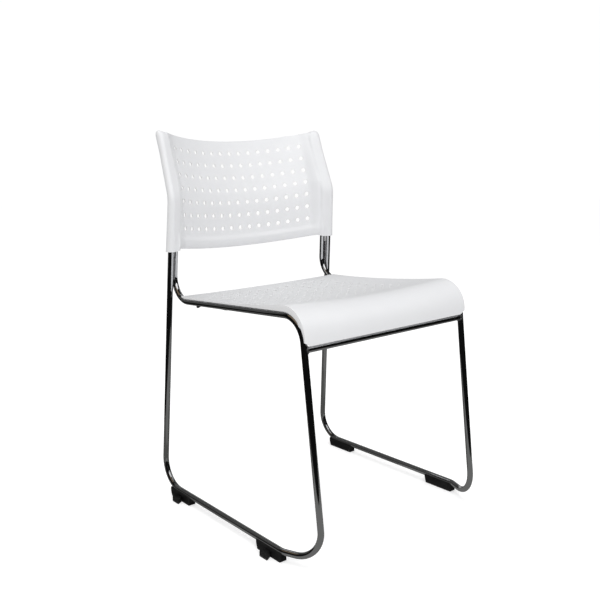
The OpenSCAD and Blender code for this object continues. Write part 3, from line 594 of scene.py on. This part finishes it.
# %% Sizes of the seat
seat_half, seat_wall = 0.2085, 0.0036
seat_rear_back, seat_rear_bow, seat_dish, seat_rear_dip = 0.063, 0.022, 0.014, 0.007
rear_edge_up, middle_edge_up, rim_gap, rim_step, lift = 0.005, 0.0036, 0.0008, 0.002, 0.0002
roll_r, roll_start, roll_drop = 0.055, math.radians(9), 0.040
lip_above_bar, lip_corner, lip_proud = 0.0075, 0.007, 0.0034
seat_pitch, seat_row_pitch, seat_first_row, hole_r = 0.0247, 0.0246, 0.042, 0.004
seat_columns, seat_rows = 13, 11
seat_rear_y = rear_y - seat_rear_back
roll_z = rail_front_z - roll_drop
lip_z = front_bar_z + lip_above_bar
roll_y = front_leg(roll_z)[1] - rod_r - lip_proud + roll_r
edge_y, edge_z = roll_y + roll_r * math.sin(roll_start), roll_z + roll_r * math.cos(roll_start)
rear_edge_z = rail(seat_rear_y)[2] + rod_r + rear_edge_up
middle_rail_z = rail((seat_rear_y + edge_y) / 2)[2]
middle_edge_z = 2 * (middle_rail_z + rod_r + middle_edge_up) - (edge_z + rear_edge_z) / 2
rim_x = min(knee_half, hip[0]) - rod_r - rim_gap
seat_run = seat_rear_y + seat_rear_bow - edge_y
print("seat runs from y =", round(seat_rear_y, 4), "to the roll at y =", round(edge_y, 4))

# %% The seat's upper surface: v is 0 to 1 on the flat, to 2 on the roll and to 3 on the lip
dish_level = 0.45


def bow(x):
    return 1 - (x / seat_half) ** 2


def dish(t):
    rising = seat_rear_dip + (seat_dish - seat_rear_dip) * np.sin(np.pi * np.minimum(t, 0.5))
    return np.where(t < 0.5, rising, seat_dish * (1 - dish_level * (2 * t - 1) ** 2))


def seat_flat(x, t):
    back = seat_rear_y + seat_rear_bow * bow(x)
    z = rear_edge_z * (1 - t) ** 2 + 2 * middle_edge_z * t * (1 - t) + edge_z * t**2
    return np.stack([x, back + (edge_y - back) * t, z - dish(t) * bow(x)], 1)


def on_roll(x, radius, angle):
    return np.stack([x, roll_y - radius * np.sin(angle), roll_z + radius * np.cos(angle)], 1)


def roll_angle(v):
    return -roll_start + (math.pi / 2 + roll_start) * np.clip(v - 1, 0, 1)


def lip_end(x):
    return lip_z + lip_corner * np.maximum(0, (np.abs(x) - rim_x) / (seat_half - rim_x))


def by_part(v, flat, roll, lip):
    return np.where((v <= 1)[:, None], flat, np.where((v <= 2)[:, None], roll, lip))


def seat_top(x, v):
    angle = roll_angle(v)
    roll = on_roll(x, roll_r - dish(1.0) * bow(x) * np.cos(angle) ** 2, angle)
    z = roll_z + (lip_end(x) - roll_z) * (v - 2)
    lip = np.stack([x, np.full_like(x, roll_y - roll_r), z], 1)
    return by_part(v, seat_flat(x, np.clip(v, None, 1)), roll, lip)


def normals(surface, a, b, step_a, step_b):
    across = surface(a + step_a, b) - surface(a - step_a, b)
    down = surface(a, b + step_b) - surface(a, b - step_b)
    normal = np.cross(down, across)
    return normal / np.linalg.norm(normal, axis=1)[:, None]


# %% The seat's underside, thin in the pan and resting on the rails at its rim
knee_trim = knee_r * slope((90 + rail_angle - front_angle) / 2)
lean = math.radians(rail_angle)
knee_middle_y = knee[1] + knee_trim * math.cos(lean) - knee_r * math.sin(lean)
knee_middle_z = rail_front_z - knee_trim * math.sin(lean) - knee_r * math.cos(lean)
hip_start = hip[1] - hip_r * slope((90 + rail_angle + rear_angle) / 2) * math.cos(lean)


def rail_top(y):
    past = np.clip(y - hip_start, 0, None)
    straight = rail(0)[2] - y * rail_slope + (rod_r + lift) / math.cos(lean)
    return straight + hip_r - np.sqrt(hip_r**2 - past**2)


def seat_rim(x, v):
    top = seat_top(x, np.clip(v, None, 1))
    flat = np.stack([x, top[:, 1], rail_top(top[:, 1])], 1)
    angle = roll_angle(v)
    off_y, off_z = knee_middle_y - roll_y, knee_middle_z - roll_z
    along = -off_y * np.sin(angle) + off_z * np.cos(angle)
    reach = along + np.sqrt((knee_r + rod_r + lift) ** 2 - (off_y**2 + off_z**2 - along**2))
    z = roll_z + (lip_end(x) - roll_z) * np.clip(v - 2, 0, 1)
    lip = np.stack([x, front_y + (z - runner_z) * front_lean - rod_r - lift, z], 1)
    return by_part(v, flat, on_roll(x, reach, angle), lip)


def seat_under(x, v):
    thin = seat_top(x, v) - seat_wall * normals(seat_top, x, v, 0.001, 0.004)
    t = np.clip((np.abs(x) - rim_x + rim_step) / rim_step, 0, 1)[:, None]
    return thin + (seat_rim(x, v) - thin) * t


# %% Bend the sheet onto the seat
side_cells, pan_cells, first_cells, front_cells, roll_cells, lip_cells = 14, 8, 10, 16, 28, 3
last_cells, tiny = front_cells + roll_cells + lip_cells, 1e-5
cells, faces = flat_sheet(seat_columns, seat_rows, side_cells, first_cells, last_cells,
                          hole_r / seat_pitch * tile, seat_pitch / seat_row_pitch)
field_half = seat_columns * seat_pitch / 2
half_cells = seat_columns * tile / 2
x = np.sign(cells[:, 0]) * np.interp(
    np.abs(cells[:, 0]),
    [0, half_cells, half_cells + pan_cells, half_cells + pan_cells + 1, half_cells + side_cells],
    [0, field_half, rim_x - rim_step, rim_x, seat_half])
field_from = seat_first_row - seat_row_pitch / 2
field_to = seat_first_row + (seat_rows - 0.5) * seat_row_pitch
row_cells = first_cells + seat_rows * tile
edge_cells = row_cells + front_cells
v = np.interp(cells[:, 1],
              [0, first_cells, row_cells, edge_cells, edge_cells + roll_cells,
               row_cells + last_cells],
              [0, field_from / seat_run, field_to / seat_run, 1, 2, 3])
on_rim = (np.abs(x) > seat_half - tiny) | (v < tiny) | (v > 3 - tiny)
seat = closed_shell("moulded_seat", faces, seat_top(x, v), seat_under(x, v),
                    width=0.0017, hole_share=0.4, on_rim=on_rim)
hand_over(seat, "seat_shell")

# %% [markdown]
# ## Back shell
# The back is one moulding: a panel that is curved round the sitter, and a sleeve at each side that
# slides down over both uprights. The panel has a raised band along its foot, and its sides curl
# forward to meet the sleeves. Each row of the sheet runs across the panel, flows onto the sleeve
# in a soft fillet and goes round it.

# %% Sizes of the back
back_columns, back_rows = 15, 7
back_pitch, back_row_pitch, back_first_row = 0.0247, 0.0277, 0.027
back_flatten, waist_soft, foot_height, foot_back, hole_draft = 0.75, 0.022, 0.021, 0.008, 0.0014
sleeve_r, mouth_extra, dome_height, past_slope, reach_over = 0.0089, 0.0014, 0.013, 3, 1.5
fillet, foot_fillet, foot_fillet_over, foot_fillet_run = 0.0025, 0.014, 0.012, 0.025
least_r, corner_soft, top_narrowing = 0.0016, 0.012, 0.35
flare, flare_from, flare_run = 0.0012, 0.050, 0.035
droop_height, droop_from, droop_run, join_above = 0.06, 0.010, 0.018, 0.02
band, ramp, field_low, curl_arc, curl_run, band_loss = 0.0032, 0.014, 0.538, 0.176, 0.021, 0.7
curl_at = [0.510, 0.550, 0.600, 0.630, 0.700, 0.739]
curls = [0.005, 0.0070, 0.0090, 0.0095, 0.005, 0.0025]
print("back: least radius across", back_r, "m, rows from", back_low_z, "to", back_top_z)

# %% The panel's surface
def back_middle(h):
    t = (h - waist_z) / waist_soft
    bend = np.where(t <= -1, 0, np.where(t >= 1, t, (t + 1) ** 2 / 4))
    foot = foot_back * (np.maximum(0, back_low_z + foot_height - h) / foot_height) ** 2
    straight = rear_y + back_set + (h - waist_z) * back_low_lean
    return straight + waist_soft * bend * (back_lean - back_low_lean) + foot


def back_radius(h):
    return back_r + back_flatten * np.maximum(0, waist_z + waist_soft - h)


def back_sag(x, h):
    return back_radius(h) - np.sqrt(back_radius(h) ** 2 - x**2)


def soft_step(t):
    t = np.clip(t, 0, 1)
    return t * t * (3 - 2 * t)


def forward_by(x, h):
    arc = back_r * np.arcsin(np.clip(np.abs(x) / back_r, 0, 1))
    curl = soft_step((arc - curl_arc) / curl_run)
    raised = band * soft_step((field_low - h) / ramp)
    return curl * np.interp(h, curl_at, curls) + raised * (1 - band_loss * curl)


def back_plain(x, h):
    sag = back_sag(x, h)
    return np.stack([x, back_middle(h) - sag, h + row_rise * sag], 1)


# %% The uprights' line inside the sleeves, and the sleeve round them
def rod_xy(z):
    t = z - lumbar_z
    in_bend = (t + corner_soft) ** 2 / (4 * corner_soft)
    soft = np.where(t < -corner_soft, 0, np.where(t > corner_soft, t, in_bend))
    x = rear_half - (z - runner_z) * rear_in - soft * (upright_in - rear_in)
    y = rear_y - (z - runner_z) * rear_lean + soft * (upright_lean + rear_lean)
    return x, y


def row_z(x, h):
    plain = h + row_rise * back_sag(x, h)
    lowest = back_low_z + row_rise * back_sag(x, np.full_like(x, back_low_z))
    join_x = rod_xy(h + join_above)[0] - pair_dx - sleeve_r
    fade = np.clip(1 - (h - back_low_z) / droop_height, 0, 1) ** 2
    return plain - (lowest - sleeve_low_z) * fade * soft_step((x - join_x + droop_from) / droop_run)


def sleeve_radius(z, h):
    mouth = mouth_extra * np.clip(1 - (z - sleeve_low_z) / (lumbar_z - sleeve_low_z), 0, 1) ** 2
    up = np.clip((h - back_top_z + dome_height) / dome_height, 0, 1)
    head = flare * soft_step((h - back_top_z + flare_from) / flare_run)
    return least_r + (sleeve_r + mouth + head - least_r) * np.sqrt(1 - up**2)


def pair_share(z):
    return 1 - top_narrowing * np.clip((z - inner_top_z) / (sleeve_top_z - inner_top_z), 0, 1)


# %% One side of a row: from the field's edge, over the fillet and round the sleeve
row_steps, fade_power, seam_half, typical_sleeve_x = 400, 8, math.radians(6), 0.207


def sleeve_side(x, z, h, sign):
    """y of the sleeve's front (sign -1) or rear (sign 1) at x"""
    cx, cy = rod_xy(z)
    r, share = sleeve_radius(z, h), pair_share(z)
    ix, iy = cx - share * pair_dx, cy + share * pair_dy
    nx, ny = sign * math.sin(pair_turn), sign * math.cos(pair_turn)
    outer = cy + sign * np.sqrt(np.maximum(r**2 - (x - cx) ** 2, 0))
    inner = iy + sign * np.sqrt(np.maximum(r**2 - (x - ix) ** 2, 0))
    inner = inner - sign * past_slope * np.maximum(ix - r - x, 0)
    t = (x - ix - r * nx) / (cx - ix)
    flat = iy + r * ny + t * (cy - iy)
    return np.where(t > 1, outer, np.where(t > 0, flat, inner))


def soft_union(a, b, sign, size):
    near = np.maximum(size - np.abs(a - b), 0) / size
    return (np.minimum(a, b) if sign < 0 else np.maximum(a, b)) + sign * near**2 * size / 4


def side_of_row(h, sign, start, fillet_cells, round_cells):
    thick = back_wall if sign > 0 else 0.0
    lean_here = float(back_middle(h + 0.001) - back_middle(h - 0.001)) / 0.002
    tilt = math.atan(lean_here)
    radius = float(back_radius(h)) + thick
    end_z = row_z(np.array([typical_sleeve_x]), h)
    nx, ny = sign * math.sin(pair_turn), sign * math.cos(pair_turn)
    end_x = float(rod_xy(end_z)[0][0] + sleeve_radius(end_z, h)[0] * nx)
    x = np.linspace(start[0], end_x, row_steps)
    z = row_z(x, h)
    last = rod_xy(z)[0] - pair_share(z) * pair_dx - 0.5 * sleeve_r
    held = np.minimum(x, last)
    panel = float(back_middle(h)) + thick * math.cos(tilt) - radius + np.sqrt(radius**2 - held**2)
    panel = panel - sign * reach_over * (x - held) - forward_by(held, h)
    fade = 1 - (x - x[0]) / (x[-1] - x[0])
    panel = panel + (start[1] - panel[0]) * fade
    at_foot = float(soft_step((field_low + foot_fillet_over - h) / foot_fillet_run))
    size = fillet + (foot_fillet - fillet) * at_foot
    y = soft_union(panel, sleeve_side(x, z, h, sign), sign, size)
    y = y + (start[1] - y[0]) * fade**fade_power
    z = z + (start[2] - z[0]) * fade**2
    run = np.concatenate([[0], np.cumsum(np.hypot(np.diff(x), np.diff(y)))])
    at = np.linspace(0, run[-1], fillet_cells + 1)
    strip = np.stack([np.interp(at, run, c) for c in (x, y, z)], 1)
    cx, cy = rod_xy(strip[-1:, 2])
    r = sleeve_radius(strip[-1:, 2], h)[0]
    first_turn = math.atan2(ny, nx)
    last_turn = -pair_turn + sign * seam_half
    turns = np.linspace(first_turn, last_turn, round_cells + 1)[1:]
    ring_x, ring_y = cx[0] + r * np.cos(turns), cy[0] + r * np.sin(turns)
    ring = np.stack([ring_x, ring_y, row_z(ring_x, h)], 1)
    return np.concatenate([strip, ring])


# %% Heights of the rows of cells
row_heights = [back_top_z - back_first_row]
for _ in range(back_rows - 1):
    above = row_heights[-1]
    tilt = math.radians(back_angle if above > waist_z else back_low_angle)
    row_heights.append(above - back_row_pitch * math.cos(tilt))
top_cells, foot_cells, fillet_cells, round_cells = 12, 14, 22, 10
field_top = row_heights[0] + back_row_pitch * math.cos(math.radians(back_angle)) / 2
knots = [(top_cells, field_top)]
for k, h in enumerate(row_heights):
    knots.append((top_cells + k * tile + tile / 2, h))
    if k + 1 < back_rows:
        knots.append((top_cells + (k + 1) * tile, (h + row_heights[k + 1]) / 2))
field_foot = row_heights[-1] - back_row_pitch * math.cos(math.radians(back_low_angle)) / 2
last_row = top_cells + back_rows * tile + foot_cells
knots += [(last_row - foot_cells, field_foot), (last_row, back_low_z)]
dome_cells = 8
dome_turns = [math.pi / 2 * k / dome_cells for k in range(dome_cells + 1)]
dome = [(k, back_top_z - dome_height * (1 - math.cos(turn))) for k, turn in enumerate(dome_turns)]
knots = dome + knots
print("rows of holes at", [round(h, 4) for h in row_heights])

# %% Bend the sheet onto the back
side_cells, half_cells = fillet_cells + round_cells, back_columns * tile // 2
off_whole = 1e-4  # how far a count of cells may be from a whole number


def height_of(row):
    return np.interp(row, *zip(*knots))


def back_sheet(hole):
    cells, faces = flat_sheet(back_columns, back_rows, side_cells, top_cells, foot_cells,
                              hole / back_pitch * tile, back_pitch / back_row_pitch)
    h = height_of(cells[:, 1])
    u = np.clip(cells[:, 0], -half_cells, half_cells) * back_pitch / tile
    x = back_r * np.sin(u / back_r)
    facing = normals(back_plain, x, h, 0.001, 0.001)
    facing = facing * -np.sign(facing[:, 1:2])
    front = back_plain(x, h) - np.stack([0 * x, forward_by(x, h), 0 * x], 1)
    return cells, faces, front, front - back_wall * facing


cells, faces, front, _ = back_sheet(hole_r)
rear = back_sheet(hole_r + hole_draft)[3]
rows = np.round(cells[:, 1]).astype(int)
beyond = np.round(np.abs(cells[:, 0]) - half_cells).astype(int)
edge_front, edge_rear = {}, {}
for k in range(len(cells)):
    if beyond[k] == 0 and cells[k, 0] > 0 and abs(cells[k, 1] - rows[k]) < off_whole:
        edge_front[rows[k]], edge_rear[rows[k]] = front[k].copy(), rear[k].copy()
for row in sorted(edge_front):
    strips = [side_of_row(height_of(row), sign, start[row], fillet_cells, round_cells)
              for sign, start in ((-1, edge_front), (1, edge_rear))]
    for k in np.flatnonzero((rows == row) & (beyond > 0)):
        side = np.array([np.sign(cells[k, 0]), 1, 1])
        front[k], rear[k] = strips[0][beyond[k]] * side, strips[1][beyond[k]] * side

# %% Close the back and round its edges
at_top_or_foot = (cells[:, 1] < off_whole) | (cells[:, 1] > last_row - off_whole)
at_side = (beyond == side_cells) & ~at_top_or_foot
back = closed_shell("moulded_back", faces, front, rear,
                    width=0.0009, hole_share=0.45, on_rim=at_top_or_foot, on_seam=at_side)
hand_over(back, "back_shell")

# %% [markdown]
# ## Screws, pins and bosses
# The seat is screwed to four tabs from below, the back by one screw through each sleeve, and each
# glide is held by a drive pin. One small part is turned for each kind, as a potter turns a cup, and
# a node tree sets a copy of it at every place, pointing along its own axis.

# %% A turned part, from its outline in millimetres, with a round or six-sided middle
MM, sides = 0.001, 24


def turned(name, outline, material, socket=None, high=MM):
    points = []
    for k, (radius, height) in enumerate(outline):
        for j in range(sides):
            turn = 2 * math.pi * j / sides
            reach = radius * MM
            if socket and k >= socket:
                reach = reach / math.cos((turn + math.pi / 6) % (math.pi / 3) - math.pi / 6)
            points.append((reach * math.cos(turn), reach * math.sin(turn), height * high))
    top = (len(outline) - 1) * sides
    faces = [(k + j, k + (j + 1) % sides, k + sides + (j + 1) % sides, k + sides + j)
             for k in range(0, top, sides) for j in range(sides)]
    faces += [tuple(reversed(range(sides))), tuple(range(top, top + sides))]
    made = mesh_object(name, points, faces=faces, material=material)
    smooth_below(made, 40)
    return made


screw = turned("screw", [
    (2.2, -5), (2.2, 0), (4.5, 0), (4.75, 0.3), (4.7, 1.2), (4.2, 2.2), (3.2, 2.9), (1.75, 3),
    (1.6, 2.8), (1.6, 1.2)], zinc, socket=7)
small_screw = turned("small_screw", [
    (1.9, -4), (1.9, 0), (3.6, 0), (3.8, 0.3), (3.7, 1.6), (3.2, 2.5), (2.2, 3), (1.35, 3.05),
    (1.25, 2.9), (1.25, 1.4)], zinc, socket=7)
pin = turned("pin", [
    (1.95, -13), (1.95, 0), (3.6, 0), (3.8, 0.25), (3.7, 0.9), (3, 1.6), (1.5, 1.95),
    (0.4, 2)], zinc)
# a boss's heights are shares of its reach, since each boss ends at the shell over its own tab
boss = turned("boss", [(6.5, 0.03), (6.5, 0.6), (6.9, 0.8), (8.3, 1.0)], white, high=1)
print("turned parts:", [part.name for part in (screw, small_screw, pin, boss)])

# %% The node tree that sets a part at each place
setting, setting_in, setting_out = geometry_tree("set_in_place", ("Part", "Object", None))
part = add(setting, "GeometryNodeObjectInfo", links={"Object": setting_in["Part"]})
pointed = add(setting, "FunctionNodeAlignRotationToVector", {"axis": "Z"},
              links={"Vector": stored(setting, "FLOAT_VECTOR", "axis")})
stretch = add(setting, "ShaderNodeCombineXYZ", values={"X": 1.0, "Y": 1.0},
              links={"Z": stored(setting, "FLOAT", "reach")})
copies = add(setting, "GeometryNodeInstanceOnPoints",
             links={"Points": setting_in["Geometry"], "Instance": part.outputs["Geometry"],
                    "Rotation": pointed.outputs["Rotation"], "Scale": stretch.outputs[0]})
end_tree(setting, setting_in, setting_out, copies.outputs["Instances"], smooth=False)


def set_parts(name, part, places, axes, material, node=None, reaches=None):
    made = mesh_object(name, places)
    store(made, "axis", "FLOAT_VECTOR", axes)
    store(made, "reach", "FLOAT", [1.0] * len(places) if reaches is None else reaches)
    grow(made, setting, {"Part": part, "Finish": material})
    hand_over(made, node)


# %% Places of the fasteners
tab_thick, tab_reach, tab_backs = 0.0025, 0.019, (0.145, 0.335)
back_screw_up, head_sunk, pin_z, front_pin_in, rear_pin_in = 0.015, 0.001, 0.004, 0.035, 0.073
tab_up = np.array([0, math.sin(lean), math.cos(lean)])
tabs = [(rail(rear_y - back_by) - (tab_reach, 0, 0) + tab_up * tab_thick / 2) * (side, 1, 1)
        for side in (-1, 1) for back_by in tab_backs]
set_parts("seat_screw_heads", screw, [t - tab_up * tab_thick for t in tabs], [-tab_up] * 4, zinc,
          "seat_screws")
tab_x, tab_y = np.abs([t[0] for t in tabs]), np.array([t[1] for t in tabs])
tab_back = seat_rear_y + seat_rear_bow * bow(tab_x)
roof = seat_flat(tab_x, (tab_back - tab_y) / (tab_back - edge_y))[:, 2] - seat_wall / 2
boss_heights = roof - np.array([t[2] for t in tabs])
print("boss heights:", np.round(boss_heights, 4).tolist())
set_parts("seat_bosses", boss, tabs, [tab_up] * 4, white, reaches=boss_heights)
screw_at = upright(sleeve_low_z + back_screw_up) + inner_step + (0, sleeve_r - head_sunk, 0)
set_parts("back_screw_heads", small_screw, [screw_at * (side, 1, 1) for side in (-1, 1)],
          [(0, 1, 0)] * 2, zinc, "back_screws")
glide_lines = [kink_y + front_pin_in, rear_y - rear_pin_in]
runner_out = toe_out / (foot_length - kink_length)
pins = [((rear_half + runner_out * (rear_y - y)) * side, y, pin_z)
        for side in (-1, 1) for y in glide_lines]
set_parts("glide_pin_heads", pin, pins, [(0, 0, -1)] * 4, zinc, "glide_pins")
for spare in (screw, small_screw, pin, boss):
    bpy.data.objects.remove(spare)

# %% [markdown]
# ## Glides and tabs
# The glides are black nylon blocks that snap round the runners, each with a lug on its outer side
# that links one chair to the next. Their solids are right, but moulded nylon has no sharp edges, so
# each is copied, its loose triangles are joined and its edges are rounded. The steel tabs stay as
# they are and only get their finish.

# %% Rounded glides
joined_within, flat_within, sliver = 0.00001, math.radians(2), 0.00003
moulded_edge, sharp_from = 0.0006, 35


def repaint(data, material):
    data.materials.clear()
    data.materials.append(material)


for where in ("rear_left", "rear_right", "front_left", "front_right"):
    node = frame["nodes"][where + "_glide"]
    made = new_object(where + "_foot", node.data.copy())
    shape = bmesh.new()
    shape.from_mesh(made.data)
    bmesh.ops.remove_doubles(shape, verts=shape.verts, dist=joined_within)
    bmesh.ops.dissolve_limit(shape, angle_limit=flat_within, verts=shape.verts, edges=shape.edges)
    shape.to_mesh(made.data)
    shape.free()
    repaint(made.data, black)
    smooth_below(made, sharp_from)
    soft = made.modifiers.new("moulded_edges", "BEVEL")
    soft.limit_method, soft.angle_limit = "ANGLE", math.radians(sharp_from)
    soft.width, soft.segments = moulded_edge, 2
    made.modifiers.new("close_slivers", "WELD").merge_threshold = sliver
    hand_over(made, where + "_glide")

# %% Finish of the tabs
for name, node in frame["nodes"].items():
    if name.endswith("seat_tab"):
        repaint(node.data, chrome)
        print(name, "is finished in", chrome.name)

# %% [markdown]
# ## Floor and light
# The chair stands on a plain pale floor in soft studio light: an even sky does most of the work,
# and a wide lamp at the front left and one overhead give the forms their shade. Floor and sky are
# a little brighter to the rays that show the background, so both read as white there while the
# chair keeps its own colours and the floor its shadow.

# %% Rays that show the background
def background_rays(tree):
    path = add(tree, "ShaderNodeLightPath")
    first = maths(tree, "MAXIMUM", path.outputs["Is Camera Ray"], path.outputs["Is Glossy Ray"])
    return maths(tree, "MAXIMUM", first, path.outputs["Is Transmission Ray"])


def bare_paint(name):
    paint = bpy.data.materials.new(name)
    paint.use_nodes = True
    paint.node_tree.nodes.remove(paint.node_tree.nodes["Principled BSDF"])
    return paint, paint.node_tree


# %% Floor
floor_glow, half = 0.445, 9.0
floor_paint, tree = bare_paint("pale_floor")
matt = add(tree, "ShaderNodeBsdfDiffuse", values={"Color": (0.8, 0.8, 0.8, 1)})
glow = add(tree, "ShaderNodeEmission",
           links={"Strength": maths(tree, "MULTIPLY", background_rays(tree), floor_glow)})
both = add(tree, "ShaderNodeAddShader")
tree.links.new(matt.outputs[0], both.inputs[0])
tree.links.new(glow.outputs[0], both.inputs[1])
tree.links.new(both.outputs[0], tree.nodes["Material Output"].inputs["Surface"])
corners = [(-half, -half, 0), (half, -half, 0), (half, half, 0), (-half, half, 0)]
floor = mesh_object("floor", corners, faces=[(0, 1, 2, 3)], material=floor_paint)
print("floor:", 2 * half, "m wide")

# %% Sky and lamps
sky_strength, sky_extra, middle_z = 0.70, 0.32, 0.45
world = bpy.data.worlds.new("studio")
bpy.context.scene.world = world
world.use_nodes = True
tree = world.node_tree
sky = tree.nodes["Background"]
sky.inputs["Color"].default_value = (1, 1, 1, 1)
extra = maths(tree, "MULTIPLY", background_rays(tree), sky_extra)
tree.links.new(maths(tree, "ADD", extra, sky_strength), sky.inputs["Strength"])


def lamp(name, place, size, power):
    data = bpy.data.lights.new(name, "AREA")
    data.shape, data.size, data.energy = "DISK", size, power
    made = new_object(name, data)
    made.location = place
    aim = Vector((0, 0, middle_z)) - made.location
    made.rotation_euler = aim.to_track_quat("-Z", "Y").to_euler()
    print(name, "lamp at", place)


lamp("key", (-1.3, -2.6, 1.5), 1.8, 27)
lamp("overhead", (0, 0.2, 3.2), 2.0, 27)

# %% [markdown]
# ## What the chrome mirrors
# Polished chrome has no colour of its own and shows the room. A real studio is dark behind its
# white paper, with a few bright panels, and that gives bent rods their black and white streaks.
# So a dark tent, papers, a soft panel and a warm wall stand round the chair, seen by mirror rays
# alone. The low papers give the rods their grey, and the panel gives the bends their bright lines.

# %% A part of a sphere round the chair
def card(name, radius, bearings, heights, colour, low=0.004, steps=12):
    paint, tree = bare_paint(name)
    light = add(tree, "ShaderNodeEmission", values={"Color": (*colour, 1)})
    tree.links.new(light.outputs[0], tree.nodes["Material Output"].inputs["Surface"])
    spans = (np.radians(np.linspace(*span, steps)) for span in (bearings, heights))
    turn, rise = np.meshgrid(*spans)
    way = np.stack([np.cos(turn) * np.cos(rise), np.sin(turn) * np.cos(rise), np.sin(rise)], -1)
    points = way * radius
    points[..., 2] = np.maximum(points[..., 2] + middle_z, low)
    faces = [(k, k + 1, k + 1 + steps, k + steps)
             for k in range(steps * (steps - 1)) if (k + 1) % steps]
    made = mesh_object(name, points.reshape(-1, 3), faces=faces, material=paint)
    made.visible_camera = made.visible_diffuse = made.visible_shadow = False
    made.visible_transmission = made.visible_volume_scatter = False
    print(name, "at bearings", bearings, "and heights", heights)


card("dark_tent", 1.4, (0, 360), (-90, 90), (0.006, 0.006, 0.006), low=0.003, steps=48)
card("grey_paper", 0.9, (0, 360), (-90, -30), (0.115, 0.115, 0.110), steps=48)
card("near_paper", 0.92, (-180, -10), (-80, -30), (0.21, 0.21, 0.205), low=0.005)
card("soft_panel", 1.2, (-150, -45), (33, 66), (1.35, 1.35, 1.35))
card("warm_wall", 1.2, (150, 205), (28, 60), (0.26, 0.20, 0.14))
card("rear_haze", 1.2, (30, 140), (-5, 45), (0.09, 0.09, 0.088))
card("rear_paper", 1.15, (10, 75), (-23, 0), (0.45, 0.45, 0.45))

# %% [markdown]
# ## Camera
# A chair is best shown from a little above its seat through a lens longer than the eye's, so that
# its legs stay nearly upright. The camera is placed by its position and three turns: round the
# vertical, up from looking straight down, and a slight roll.

# %% Camera
lens_mm, sensor_mm, stands_at = 49.5, 36, (-1.0759, -1.2697, 0.7346)
bearing, looks_down, roll = -39.76, 10.79, -0.55
camera_data = bpy.data.cameras.new("camera")
camera_data.lens, camera_data.sensor_width = lens_mm, sensor_mm
camera = new_object("camera", camera_data)
place = Matrix.Translation(stands_at)
for degrees, axis in ((bearing, "Z"), (90 - looks_down, "X"), (roll, "Z")):
    place = place @ Matrix.Rotation(math.radians(degrees), 4, axis)
camera.matrix_world = place
bpy.context.scene.camera = camera
print("camera at", np.round(camera.matrix_world.translation, 3).tolist())

# %% Bring the scene up to date
bpy.context.view_layer.update()
